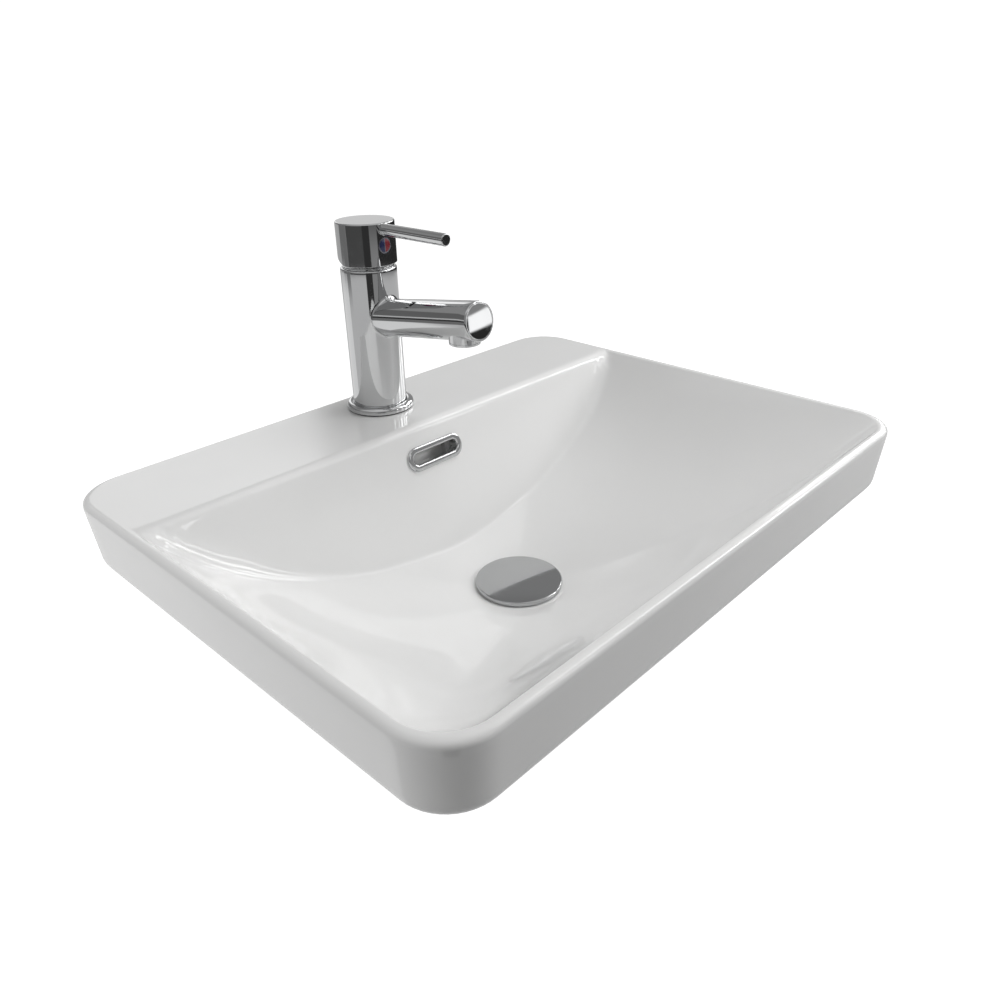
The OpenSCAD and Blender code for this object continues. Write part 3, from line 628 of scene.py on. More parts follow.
@dataclass(frozen=True)
class Moulded(Finish):
    """Moulded plastic or rubber with a fine grain."""

    light: tuple[float, float, float] = (0.86, 0.86, 0.84)
    dark: tuple[float, float, float] = (0.80, 0.80, 0.78)
    rough: float = 0.4
    grain: float = 1600.0
    depth: float = 0.00003

    def mix(self, recipe: Recipe) -> None:
        """Builds the nodes: soft mottling and a fine grain."""
        place = recipe.place()
        mottle = recipe.noise(place, scale=120.0, detail=3.0)
        grain = recipe.noise(place, scale=self.grain)
        recipe.principled(
            Base_Color=recipe.blend(mottle.ramp(0.3, 0.7), rgba(*self.light), rgba(*self.dark)),
            Roughness=mottle.ramp(0.3, 0.7, self.rough, self.rough + 0.1),
            Normal=recipe.bump(grain, self.depth),
        )


@dataclass(frozen=True)
class HotAndCold(Finish):
    """The round mark, red on one half and blue on the other, in a pale ring under clear lacquer."""

    centre: tuple[float, float] = (0.0, 190.4)
    ring_r: float = 5.0
    line_half: float = 0.25
    red: tuple[float, float, float] = (0.18, 0.006, 0.014)
    blue: tuple[float, float, float] = (0.009, 0.016, 0.075)
    pale: tuple[float, float, float] = (0.16, 0.16, 0.19)

    def mix(self, recipe: Recipe) -> None:
        """Builds the nodes: two halves split at the middle, with a ring round them."""
        place = recipe.place()
        x, _, z = recipe.parts(place)
        dx = x - self.centre[0] * MM
        dz = z - self.centre[1] * MM
        in_ring = (dx * dx + dz * dz) ** 0.5 > self.ring_r * MM
        tone = recipe.noise(place, scale=500.0)
        halves = recipe.blend(dx > 0.0, rgba(*self.blue), rgba(*self.red))
        halves = recipe.blend(abs(dx) < self.line_half * MM, halves, rgba(*self.pale))
        recipe.principled(
            Base_Color=recipe.blend(in_ring, halves, rgba(*self.pale)),
            Roughness=tone.ramp(0.3, 0.7, 0.18, 0.26),
            Coat_Weight=0.4,
            Coat_Roughness=0.03,
            Metallic=in_ring * 0.8,
        )


GLAZE = Glaze("white_glaze", "glaze")
CHROME = Chrome("chrome_plate", "chrome")
# A darker, slightly rougher copy of the chrome, used for the plug.
PLUG_CHROME = Chrome("darker_chrome_plate", "chrome", (0.50, 0.505, 0.51), 0.05)
BRASS = TurnedMetal("turned_brass", "brass")
STEEL = TurnedMetal("zinc_steel", "steel", (0.62, 0.63, 0.65), (0.46, 0.47, 0.49), 0.3)
RUBBER = Moulded(
    "black_rubber", "rubber", (0.030, 0.030, 0.032), (0.018, 0.018, 0.020), 0.55, 900.0, 0.00008
)
PLASTIC = Moulded("white_plastic", "plastic")
DISC_CERAMIC = Moulded(
    "ground_ceramic", "disc_ceramic", (0.88, 0.87, 0.84), (0.82, 0.81, 0.78), 0.16, 2400.0, 0.00001
)
MARK = HotAndCold("hot_and_cold_mark", "indicator")


# Sub-assemblies


@dataclass
class BasinBody:
    """The ceramic basin: rim, deck, bowl, rear wall, overflow and drain boss in one glazed casting."""

    width: float = 500.0
    depth: float = 380.0
    rim_h: float = 55.5
    corner_r: float = 35.0
    rim_w: float = 7.5
    floor_z: float = -56.0
    deck_edge_y: float = 95.0
    deck_edge_r: float = 8.0
    lean: float = 19.3
    drain_y: float = -5.4
    floor_r: float = 36.0
    square_floor: float = 0.25
    even_rise: float = 0.56
    rise_ease: float = 0.02
    steep_power: float = 4.2
    lip_r: float = 3.0
    lip_slope: float = 54.0
    skirt_draft: float = 3.0
    rim_edge_r: float = 4.5
    foot_edge_r: float = 14.0
    foot_w: float = 8.0
    inner_skirt: tuple[tuple[float, float], ...] = (
        (19.0, 5.6), (14.6, 11.0), (13.0, 14.0), (12.6, 19.0), (12.2, 25.0), (11.9, 30.5),
    )
    bowl_t: float = 12.0
    wall_t: float = 12.0
    wall_blend: float = 6.0
    boss_r: float = 35.0
    boss_z: float = -94.0
    flare_z: float = -71.2
    flare_rise: float = 0.868
    flare_blend: float = 3.0
    bore_r: float = 23.0
    chamber_r: float = 27.0
    chamber_low: float = -83.7
    chamber_high: float = -66.3
    recess_r: float = 32.6
    recess_z: float = -59.8
    recess_ease: float = 0.4
    deck_under_z: float = 41.5
    pad_z: float = 38.5
    pad_r: float = 23.5
    tap_y: float = 152.0
    tap_hole_r: float = 17.5
    overflow_z: float = 30.8
    overflow_w: float = 50.1
    overflow_h: float = 12.1
    overflow_in: float = 13.5
    duct_route: tuple[tuple[float, float], ...] = (
        (99.9, 28.8), (73.0, -46.0), (67.4, -56.0), (17.6, -75.0),
    )
    duct_r: float = 5.5
    duct_half: float = 23.0
    duct_cover: float = 25.0
    duct_cover_half: float = 24.0
    duct_under_z: float = -67.5
    duct_fall: float = 0.381
    duct_side: float = 4.0
    duct_blend: float = 4.0
    crease: float = 4.0
    crease_wide: float = 20.0
    crease_from: float = 95.0
    crease_over: float = 95.0
    crease_fade: float = 14.0
    corner_steps: int = 12
    long_steps: int = 116
    short_steps: int = 80
    fine_steps: int = 1500
    fine_under: int = 700
    top_rows: int = 112
    rim_zone: float = 40.0
    rim_gain: float = 2.5
    bend_mm: float = 25.0
    even_span: int = 41
    even_rays: int = 3
    lip_rows: int = 9
    under_rows: int = 34
    under_from: float = 0.955

    def outline(self, inset: float) -> np.ndarray:
        """The plan outline at an inset from the rim's widest line, anticlockwise."""
        r = self.corner_r - inset / 2.0
        x = self.width / 2.0 - inset - r
        y = self.depth / 2.0 - inset - r
        corners = [(x, y, 0), (-x, y, 90), (-x, -y, 180), (x, -y, 270)]
        arcs = [arc(c[:2], r, c[2], c[2] + 90, self.corner_steps) for c in corners]
        points: list[tuple[float, float]] = []
        for i, corner in enumerate(arcs):
            points += corner
            after = np.array(arcs[(i + 1) % 4][0])
            steps = self.long_steps if i % 2 == 0 else self.short_steps
            start = np.array(corner[-1])
            points += [tuple(start + (after - start) * k / steps) for k in range(1, steps)]
        return np.array(points)

    def level(self, inset: float, z: float) -> np.ndarray:
        """The outline at an inset and a height."""
        plan = self.outline(inset)
        return np.column_stack([plan, np.full(len(plan), z)])

    def ring(self, radius: float, z: float) -> np.ndarray:
        """A circle round the drain, with its points on the rays to the outline."""
        plan = self.rays()[0] * radius + np.array([0.0, self.drain_y])
        return np.column_stack([plan, np.full(len(plan), z)])

    def rays(self) -> tuple[np.ndarray, np.ndarray]:
        """Directions from the drain to the bowl's outline, and the distances along them."""
        v = self.outline(self.rim_w) - np.array([0.0, self.drain_y])
        reach = np.linalg.norm(v, axis=1)
        return v / reach[:, None], reach

    def rise(self, s: np.ndarray) -> np.ndarray:
        """The share of the bowl's rise that is reached at a share s of the way out."""
        even = self.even_rise * s * s / (s + self.rise_ease)
        return even + (1 - self.even_rise * (1 - self.rise_ease)) * s**self.steep_power

    def trough(self, s: np.ndarray, reach: np.ndarray) -> tuple[np.ndarray, np.ndarray]:
        """The radius and height of the bowl at shares s along every ray.

        Args:
            s: The shares, from 0 at the drain's level floor to 1 at the rim.
            reach: The rays' lengths.

        Returns:
            The radii and the heights, as arrays of shares and rays.
        """
        ways = self.rays()[0]
        half = np.array([self.width / 2 - self.rim_w, self.depth / 2 - self.rim_w])
        soft = 1.0 / np.linalg.norm(ways / half, axis=1)
        squareness = self.square_floor + (1 - self.square_floor) * s[:, None] ** 2
        full = soft + (reach - soft) * squareness
        radius = self.floor_r + s[:, None] * (full - self.floor_r)
        drop = self.lip_r * (1 - math.cos(math.radians(self.lip_slope)))
        height = self.floor_z + (self.rim_h - drop - self.floor_z) * self.rise(s)
        return radius, np.broadcast_to(height[:, None], radius.shape)

    def wall(self, y: np.ndarray) -> np.ndarray:
        """The height of the rear wall and deck at a distance y."""
        turned = math.radians(90.0 - self.lean)
        edge, r = self.deck_edge_y, self.deck_edge_r
        line = self.rim_h + (y - edge) / math.tan(math.radians(self.lean))
        end = edge + r * math.tan(turned / 2.0)
        start = end - r * math.sin(turned)
        inside = np.clip(end - y, 0.0, end - start)
        rounding = self.rim_h - r + np.sqrt(r**2 - inside**2)
        return np.where(y < start, line, np.where(y < end, rounding, self.rim_h))

    def resample(self, fine: np.ndarray, count: int, gain: float = 0.0) -> np.ndarray:
        """Spaces points evenly along each ray, and closer where the ray bends.

        Args:
            fine: Fine points as an array of steps, rays and coordinates.
            count: The number of points to keep on each ray.
            gain: How much closer the points get towards the end of the ray.

        Returns:
            The kept points.
        """
        step = np.diff(fine, axis=0)
        length = np.linalg.norm(step, axis=2)
        way = step / np.maximum(length[..., None], TINY)
        bend = np.zeros_like(length)
        bend[1:] = np.arccos(np.clip((way[1:] * way[:-1]).sum(2), -1.0, 1.0))
        left = np.cumsum(length[::-1], axis=0)[::-1]
        close = 1.0 + gain * np.clip(1.0 - left / self.rim_zone, 0.0, 1.0)
        weight = (length + self.bend_mm * bend) * close
        kernel = np.hanning(self.even_span)
        kernel /= kernel.sum()
        steps = np.arange(len(fine))
        place = np.empty((count, fine.shape[1]))
        for j in range(fine.shape[1]):
            padded = np.pad(weight[:, j], self.even_span // 2, mode="edge")
            run = np.concatenate([[0.0], np.cumsum(np.convolve(padded, kernel, "valid"))])
            place[:, j] = np.interp(np.linspace(0.0, run[-1], count), run, steps)
        near = range(-self.even_rays, self.even_rays + 1)
        place = sum(np.roll(place, k, axis=1) for k in near) / len(near)
        kept = np.empty((count, fine.shape[1], 3))
        for j in range(fine.shape[1]):
            for axis in range(3):
                kept[:, j, axis] = np.interp(place[:, j], steps, fine[:, j, axis])
        return kept

    def top(self) -> np.ndarray:
        """The glazed top from the drain's recess to the rim's edge."""
        ways, reach = self.rays()
        radius, height = self.trough(np.linspace(0.0, 1.0, self.fine_steps), reach)
        plan = ways[None] * radius[..., None] + np.array([0.0, self.drain_y])
        bowl = np.concatenate([plan, height[..., None]], axis=2)
        radii = np.linspace(self.recess_r + 1.0, self.floor_r, 20)[:-1]
        floor = [self.ring(r, self.floor_z) for r in radii]
        lip = []
        slope = math.radians(self.lip_slope)
        for a in np.radians(np.linspace(self.lip_slope, 0.0, self.lip_rows + 1))[1:]:
            out = self.lip_r * (math.sin(slope) - math.sin(a))
            lip.append(self.level(self.rim_w - out, self.rim_h - self.lip_r * (1 - math.cos(a))))
        last = self.rim_w - self.lip_r * math.sin(slope)
        flat = [self.level(i, self.rim_h) for i in np.linspace(last, self.rim_edge_r, 3)[1:]]
        fine = np.concatenate([np.array(floor), bowl, np.array(lip), np.array(flat)])
        wall = self.wall(fine[..., 1])
        peak = np.maximum(fine[..., 2], wall)
        spread = np.clip((np.abs(fine[..., 0]) - self.crease_from) / self.crease_over, 0.0, 1.0)
        fade = np.clip((self.rim_h - peak) / self.crease_fade, 0.0, 1.0)
        width = (self.crease + self.crease_wide * spread**2) * fade
        fine[..., 2] = np.minimum(smooth_max(fine[..., 2], wall, width), self.rim_h)
        inner = len(floor) + len(bowl)
        kept = self.resample(fine[:inner], self.top_rows, self.rim_gain)
        return np.concatenate([kept, fine[inner:]])

    def underside(self) -> np.ndarray:
        """The underside from the inside of the skirt to the drain's boss."""
        ways, reach = self.rays()
        s = np.linspace(self.under_from, 0.0, self.fine_under)
        radius, height = self.trough(s, reach)
        radius = radius + (self.boss_r - self.floor_r) * (1 - s[:, None])
        plan = ways[None] * radius[..., None] + np.array([0.0, self.drain_y])
        x, y = plan[..., 0], plan[..., 1]
        slope = math.tan(math.radians(self.lean))

        def behind(distance: float) -> np.ndarray:
            """The height of a plane at a distance behind the rear wall's face."""
            return self.rim_h + (y - self.deck_edge_y - distance) / slope

        def lower(first: np.ndarray, second: np.ndarray, blend: float) -> np.ndarray:
            """The lower of two heights, blended where they are close."""
            return -smooth_max(-first, -second, np.full_like(second, blend))

        under = smooth_max(height - self.bowl_t, behind(self.wall_t), np.full_like(y, self.wall_blend))
        low_y, end_y = self.duct_route[2][0], self.duct_route[3][0]
        duct = np.maximum(self.duct_under_z + (y - low_y) * self.duct_fall, behind(self.duct_cover))
        beside = np.clip(np.abs(x) - self.duct_cover_half, 0.0, None) + np.clip(end_y - y, 0.0, None)
        under = lower(under, duct + beside * self.duct_side, self.duct_blend)
        flare = self.flare_z + (np.hypot(x, y - self.drain_y) - self.boss_r) * self.flare_rise
        under = lower(under, flare, self.flare_blend)
        pad = self.pad_z + np.clip(np.hypot(x, y - self.tap_y) - self.pad_r, 0.0, None)
        under = np.minimum(np.minimum(under, pad), self.deck_under_z)
        fine = np.concatenate([plan, under[..., None]], axis=2)
        return self.resample(fine, self.under_rows)

    def rows(self) -> np.ndarray:
        """Every row of the casting's skin, from the bore over the top and back underneath."""
        edge, ease = self.recess_r, self.recess_ease
        drain = [
            (self.bore_r, self.boss_z + 1.5), (self.bore_r, self.chamber_low - 0.1),
            (self.chamber_r, self.chamber_low), (self.chamber_r, self.chamber_high),
            (self.bore_r, self.chamber_high + 0.1), (self.bore_r, self.recess_z - ease),
            (self.bore_r + ease, self.recess_z), (edge - ease, self.recess_z), (edge, self.recess_z + ease),
        ]
        quarter = np.radians([0, 22.5, 45, 67.5])
        drain += [(edge + 1 - math.cos(a), self.floor_z - 1 + math.sin(a)) for a in quarter]
        rim, foot, draft = self.rim_edge_r, self.foot_edge_r, self.skirt_draft
        skirt = [
            (rim * (1 - math.cos(a)), self.rim_h - rim * (1 - math.sin(a)))
            for a in np.radians(np.linspace(90, 0, 11))[1:]
        ]
        drop = self.rim_h - rim - foot
        skirt += [(draft * t, foot + drop * (1 - t)) for t in np.linspace(0, 1, 7)[1:-1]]
        skirt += [
            (draft + foot * (1 - math.sin(a)), foot * (1 - math.cos(a)))
            for a in np.radians(np.linspace(90, 0, 12))
        ]
        end = draft + foot + self.foot_w
        skirt += [(end - 0.8, 0.0), (end, 0.8), *self.inner_skirt]
        boss = [(self.boss_r, self.boss_z + up) for up in (18.0, 12.0, 6.0, 1.2)]
        boss += [
            (self.boss_r - 0.35, self.boss_z + 0.35), (self.boss_r - 1.2, self.boss_z),
            (self.bore_r + 1.0, self.boss_z), (self.bore_r, self.boss_z + 0.8),
        ]
        return np.array([
            *(self.ring(r, z) for r, z in drain), *self.top(), *(self.level(i, z) for i, z in skirt),
            *self.underside(), *(self.ring(r, z) for r, z in boss),
        ])

    def slot(self, steps: int = 16) -> list[tuple[float, float]]:
        """The overflow slot's outline, with a number of steps in each end."""
        r = self.overflow_h / 2.0
        x = self.overflow_w / 2.0 - r
        return arc((x, 0), r, -90, 90, steps) + arc((-x, 0), r, 90, 270, steps)

    def at_overflow(self) -> Matrix:
        """Places a shape on the rear wall at the overflow, with +Z out of the wall."""
        y = self.deck_edge_y + (self.overflow_z - self.rim_h) * math.tan(math.radians(self.lean))
        return move(0, y, self.overflow_z) @ turn(90 - self.lean, "X")

    def duct(self) -> Mould:
        """The overflow duct's inside, from behind the slot to the drain's chamber."""
        left: list[tuple[float, float]] = []
        right: list[tuple[float, float]] = []
        last = len(self.duct_route) - 1
        for i, p in enumerate(self.duct_route):
            before = Vector(self.duct_route[max(i - 1, 0)])
            after = Vector(self.duct_route[min(i + 1, last)])
            side = (after - before).normalized() * self.duct_r
            left.append((p[0] + side.y, p[1] - side.x))
            right.append((p[0] - side.y, p[1] + side.x))
        upright = Matrix(((0, 0, 1, 0), (1, 0, 0, 0), (0, 1, 0, 0), (0, 0, 0, 1)))
        return Mould().prism(left + right[::-1], -self.duct_half, self.duct_half).place(upright)

    def build(self) -> bpy.types.Object:
        """Makes the basin."""
        mould = Mould()
        mould.grid(self.rows(), loop=True)
        obj = mould.finish("basin_casting", 60.0)
        hole = Mould().rod(self.tap_hole_r, self.pad_z - 5, self.rim_h + 5, HOLE_SIDES)
        slot = Mould().prism(self.slot(), -self.overflow_in, 8.0)
        carve(obj, [hole.place(move(y=self.tap_y)), self.duct(), slot.place(self.at_overflow())], 45.0)
        return dress(obj, Body.UNIT, GLAZE, ["basin"])


@dataclass
class OverflowRing:
    """The rounded trim ring in the overflow, on its sleeve."""

    basin: BasinBody
    straight: float = 38.0
    inner: float = 4.5
    outer: float = 10.0
    sleeve_t: float = 1.5
    sleeve_l: float = 8.0
    proud: float = 2.2

    def outline(self, radius: float, steps: int = 28, along: int = 16) -> np.ndarray:
        """A slot's outline at a distance from its middle line."""
        half = self.straight / 2.0
        right = arc((half, 0), radius, -90, 90, steps)
        left = arc((-half, 0), radius, 90, 270, steps)
        top = [(half - self.straight * k / along, radius) for k in range(1, along)]
        foot = [(-half + self.straight * k / along, -radius) for k in range(1, along)]
        return np.array(right + top + left + foot)

    def build(self) -> bpy.types.Object:
        """Makes the ring."""
        bore, sleeve = self.inner, self.inner + self.sleeve_t
        profile = soften([
            (sleeve, -self.sleeve_l), (sleeve, 0.0), (self.outer, 0.0, 0.3), (self.outer, self.proud, 1.5),
            (bore, self.proud, 1.5), (bore, -self.sleeve_l),
        ], 8)
        rows = []
        for distance, height in profile:
            plan = self.outline(distance)
            rows.append(np.column_stack([plan, np.full(len(plan), height)]))
        mould = Mould()
        mould.grid(np.array(rows), loop=True)
        mould.place(self.basin.at_overflow())
        return dress(mould.finish("overflow_trim"), Body.UNIT, CHROME, ["overflow_ring"])


@dataclass
class Waste:
    """The press-to-open waste: plug, flange, threaded tail and back nut."""

    y: float = -5.4
    floor_z: float = -56.0
    flange_r: float = 32.0
    flange_t: float = 2.6
    tube_r: float = 20.955
    bore_r: float = 18.555
    seat_r: float = 23.055
    seat_depth: float = 2.0
    tail_z: float = -148.0
    thread_l: float = 32.0
    pitch: float = 2.309
    tooth: float = 0.75
    cross_z: float = -100.0
    cross_h: float = 6.0
    cross_half: float = 2.0
    hub_r: float = 8.0
    spigot_r: float = 4.55
    slot_z: float = -75.0
    slot_half_w: float = 7.0
    slot_half_h: float = 6.0
    slot_r: float = 3.0
    slot_from: float = 12.0
    thread_end_z: float = -64.0
    nut_z: float = -112.5
    nut_t: float = 9.0
    nut_af: float = 56.0
    collar_t: float = 2.0
    plug_r: float = 34.5
    plug_z: float = -55.5
    plug_t: float = 3.5
    neck_r: float = 7.0
    neck_h: float = 5.0
    stem_r: float = 3.05
    stem_h: float = 1.5

    def set_down(self, mould: Mould) -> Mould:
        """Moves a shape that was made round the Z axis to the drain."""
        return mould.place(move(y=self.y))

    def thread(self, low: float, high: float) -> list[tuple[float, float]]:
        """The pipe thread's profile between two heights, upwards."""
        count = int((high - low) / self.pitch)
        pitch = (high - low) / count
        return thread(self.tube_r - self.tooth, self.tube_r, low, pitch, count, (0.08, 0.46, 0.54, 0.92))

    def tube(self) -> Mould:
        """The turned flange and threaded tube, in one skin."""
        tail, neck = self.tail_z, self.tube_r - 0.8
        thread_top = tail + self.thread_l
        flange_z, seat_z = self.floor_z - self.flange_t, self.floor_z - self.seat_depth
        outside = [
            (self.bore_r, tail + 0.4), (self.bore_r + 0.4, tail), (self.tube_r - 0.9, tail),
            *self.thread(tail + 0.6, thread_top), (neck, thread_top), (neck, thread_top + 1.5),
            *self.thread(thread_top + 1.6, self.thread_end_z),
            (self.tube_r, self.thread_end_z + 0.4), (self.tube_r, flange_z),
        ]
        inside = soften([
            (self.tube_r, flange_z), (self.flange_r, flange_z, 0.3), (self.flange_r, self.floor_z, 1.0),
            (self.seat_r, self.floor_z, 0.6), (self.seat_r, seat_z, 0.5),
            (self.bore_r, seat_z - 0.1, 0.4), (self.bore_r, tail + 0.4),
        ])
        return Mould().spin([*outside, *inside[1:]], BODY_SIDES)

    def body(self) -> bpy.types.Object:
        """Makes the flange, the slotted tube, the cross and the threaded tail."""
        obj = self.set_down(self.tube()).finish("waste_casting")
        low, high, reach = self.cross_z, self.cross_z + self.cross_h, self.tube_r - 1.2
        thick = self.cross_half
        parts = [Mould().rod(self.hub_r, low, high, BORE_SIDES)]
        parts += [Mould().block((-x, -y, low), (x, y, high)) for x, y in ((reach, thick), (thick, reach))]
        carve(obj, [self.set_down(m) for m in parts], how=Cut.JOIN)
        cuts = [Mould().rod(self.spigot_r, low - OVER, high + OVER, BORE_SIDES)]
        w, h, r = self.slot_half_w, self.slot_half_h, self.slot_r
        outline = soften([(0, -h), (w, -h, r), (w, h, r), (-w, h, r), (-w, -h, r), (0, -h)])[:-1]
        for quarter in range(4):
            place = move(z=self.slot_z) @ turn(45 + 90 * quarter, "Z") @ turn(90, "X")
            cuts.append(Mould().prism(outline, self.slot_from, self.tube_r + 2.0).place(place))
        carve(obj, [self.set_down(m) for m in cuts])
        return dress(obj, Body.UNIT, CHROME, ["waste_body"])

    def backnut(self) -> bpy.types.Object:
        """Makes the eight-sided back nut with its round collar."""
        low, top, half = self.nut_z, self.nut_z + self.nut_t, self.nut_af / 2
        collar_z = top - self.collar_t
        mould = Mould().prism(polygon(half / math.cos(math.radians(22.5)), 8, 22.5), low, collar_z)
        bmesh.ops.bevel(
            mould.bm, geom=list(mould.bm.edges), offset=0.5, segments=2, profile=0.5, affect="EDGES",
            material=-1,
        )
        obj = self.set_down(mould).finish("waste_nut", NUT_ANGLE)
        collar = Mould().spin(soften([
            (0, collar_z - 0.5), (half - 1, collar_z - 0.5), (half, collar_z, 0.3), (half, top, 0.5),
            (0, top),
        ]), PART_SIDES)
        carve(obj, [self.set_down(collar)], NUT_ANGLE, Cut.JOIN)
        wide, tight = self.tube_r + 1.1, self.tube_r + 0.1
        bore = Mould().spin([
            (0, low - OVER), (wide, low - OVER), (tight, low + 0.8), (tight, top - 0.8), (wide, top + OVER),
            (0, top + OVER),
        ], PART_SIDES)
        carve(obj, [self.set_down(bore)], NUT_ANGLE)
        return dress(obj, Body.UNIT, BRASS, ["waste_backnut"])

    def plug(self) -> bpy.types.Object:
        """Makes the polished cap with the neck that takes the plunger."""
        z, low = self.plug_z, self.plug_z - self.neck_h
        top, stem = z + self.plug_t, z + self.stem_h
        mould = Mould().spin(soften([
            (0, stem), (self.stem_r, stem), (self.stem_r, low), (self.neck_r, low, 0.4),
            (self.neck_r, z, 0.8), (self.plug_r, z, 0.6), (self.plug_r, top, 1.3), (0, top),
        ], 7), FACE_SIDES)
        obj = self.set_down(mould).finish("plug_disc")
        return dress(obj, Body.PLUG, PLUG_CHROME, ["plug_cap"])

    def build(self) -> None:
        """Makes every rebuilt piece of the waste."""
        self.body()
        self.backnut()
        self.plug()


@dataclass
class Tap:
    """The single-lever mixer tap: body with its spout, foot ring, aerator, cover ring and fixing."""

    y: float = 152.0
    deck_z: float = 55.5
    foot: float = 1.0
    body_r: float = 22.25
    body_h: float = 116.7
    body_edge: float = 1.5
    spout_r: float = 14.5
    spout_axis: float = 76.0
    spout_rise: float = 8.4
    spout_l: float = 123.3
    spout_edge: float = 1.1
    fillet: float = 2.5
    chamber_r: float = 17.5
    chamber_floor: float = 89.7
    nut_r: float = 19.0
    nut_depth: float = 6.0
    end_plug_r: float = 13.0
    end_plug_t: float = 3.0
    aerator_reach: float = 106.0
    aerator_r: float = 11.8
    aerator_top: float = 88.65
    aerator_drop: float = 2.2
    ring_r: float = 28.0
    ring_h: float = 5.0
    cover_r: float = 20.4
    cover_t: float = 1.6
    cover_bore_r: float = 12.0
    cover_step_r: float = 18.7
    foot_ease: float = 0.4
    port_x: float = 8.0
    port_y: float = 1.0
    port_r: float = 5.0
    port_l: float = 15.0
    inlet_r: float = 3.8
    outlet_y: float = 9.0
    outlet_r: float = 4.0
    spout_bore_r: float = 9.0
    spout_bore_from: float = 6.0
    stud_y: float = 13.0
    stud_r: float = 4.0
    stud_low: float = 4.5
    stud_high: float = 11.5
    stud_hole: float = 12.0
    stud_pitch: float = 1.25
    long_nut_low: float = 19.5
    long_nut_high: float = 33.5
    long_nut_half: float = 6.0
    wrap: int = 72
    side: int = 24
    wall_rows: int = 30
    wall_power: float = 1.3

    def at(self, height: float = 0.0) -> Matrix:
        """Places a shape on the tap's axis at a height above the deck."""
        return move(0, self.y, self.deck_z + height)

    def along_spout(self, start: float) -> Matrix:
        """Places a shape on the spout's axis, with +Z out of its end."""
        return self.at(self.spout_axis) @ turn(90 - self.spout_rise, "X") @ move(z=start)

    def under_spout(self) -> float:
        """The height above the deck of the spout's underside at the aerator."""
        rise = math.radians(self.spout_rise)
        return self.spout_axis + self.aerator_reach * math.tan(rise) - self.spout_r / math.cos(rise)

    def frame_of_spout(self) -> tuple[np.ndarray, np.ndarray, np.ndarray]:
        """The spout's direction and the two directions across it."""
        rise = math.radians(self.spout_rise)
        return (
            np.array([0.0, -math.cos(rise), math.sin(rise)]),
            np.array([1.0, 0.0, 0.0]),
            np.array([0.0, math.sin(rise), math.cos(rise)]),
        )

    def junction(self) -> tuple[np.ndarray, np.ndarray, np.ndarray]:
        """The rounding between body and spout, as a ball rolled round the corner leaves it.

        Returns:
            The ball's centres, and where it touches the body and the spout.
        """
        count = 2 * (self.wrap + self.side)
        phi = np.arange(count) * 2 * math.pi / count
        way, across, over = self.frame_of_spout()
        rise = math.radians(self.spout_rise)
        far = self.spout_r + self.fillet
        cx = far * np.cos(phi)
        cy = -np.sqrt((self.body_r + self.fillet) ** 2 - cx**2)
        run = (far * np.sin(phi) * math.sin(rise) - cy) / math.cos(rise)
        spoke = np.cos(phi)[:, None] * across + np.sin(phi)[:, None] * over
        axis = np.array([0.0, 0.0, self.spout_axis]) + run[:, None] * way
        centre = axis + far * spoke
        on_spout = axis + self.spout_r * spoke
        share = self.body_r / (self.body_r + self.fillet)
        on_body = centre * np.array([share, share, 1.0])
        return centre, on_body, on_spout

    def sheet_edge(self) -> np.ndarray:
        """The edge of the body's unrolled wall, as angles and heights, from the right and upwards."""
        low, high = self.foot + 0.4, self.body_h - self.body_edge
        up = low + (high - low) * np.arange(self.side + 1) / self.side
        round_ = math.pi - 2 * math.pi * np.arange(self.wrap) / self.wrap
        half = self.side // 2
        edge = [(math.pi, z) for z in up[half:self.side]]
        edge += [(a, high) for a in round_]
        edge += [(-math.pi, z) for z in up[:0:-1]]
        edge += [(-a, low) for a in round_]
        edge += [(math.pi, z) for z in up[:half]]
        return np.array(edge)

    def wall(self, on_body: np.ndarray) -> np.ndarray:
        """The body's wall from the edge of its unrolled sheet to the spout's rounding."""
        edge = self.sheet_edge()
        hole = np.column_stack([np.arctan2(on_body[:, 0], -on_body[:, 1]), on_body[:, 2]])
        share = 1 - (1 - np.linspace(0, 1, self.wall_rows)) ** self.wall_power
        flat = edge[None] + (hole - edge)[None] * share[:, None, None]
        angle, height = flat[..., 0], flat[..., 1]
        return np.stack([self.body_r * np.sin(angle), -self.body_r * np.cos(angle), height], axis=2)

    def circle(self, radius: float, height: float) -> np.ndarray:
        """A ring of points round the body's axis that meets the wall's edge."""
        a = math.pi - 2 * math.pi * np.arange(self.wrap) / self.wrap
        return np.column_stack([radius * np.sin(a), -radius * np.cos(a), np.full(self.wrap, height)])

    def bend(self, centre: np.ndarray, on_body: np.ndarray, on_spout: np.ndarray) -> np.ndarray:
        """The rows of the rounding between body and spout, from the ball's centres and touches."""
        first, second = (on_body - centre) / self.fillet, (on_spout - centre) / self.fillet
        angle = np.arccos(np.clip((first * second).sum(1), -1, 1))[:, None]
        rows = []
        for t in np.linspace(0, 1, 9):
            turned = (np.sin((1 - t) * angle) * first + np.sin(t * angle) * second) / np.sin(angle)
            rows.append(centre + self.fillet * turned)
        return np.array(rows)

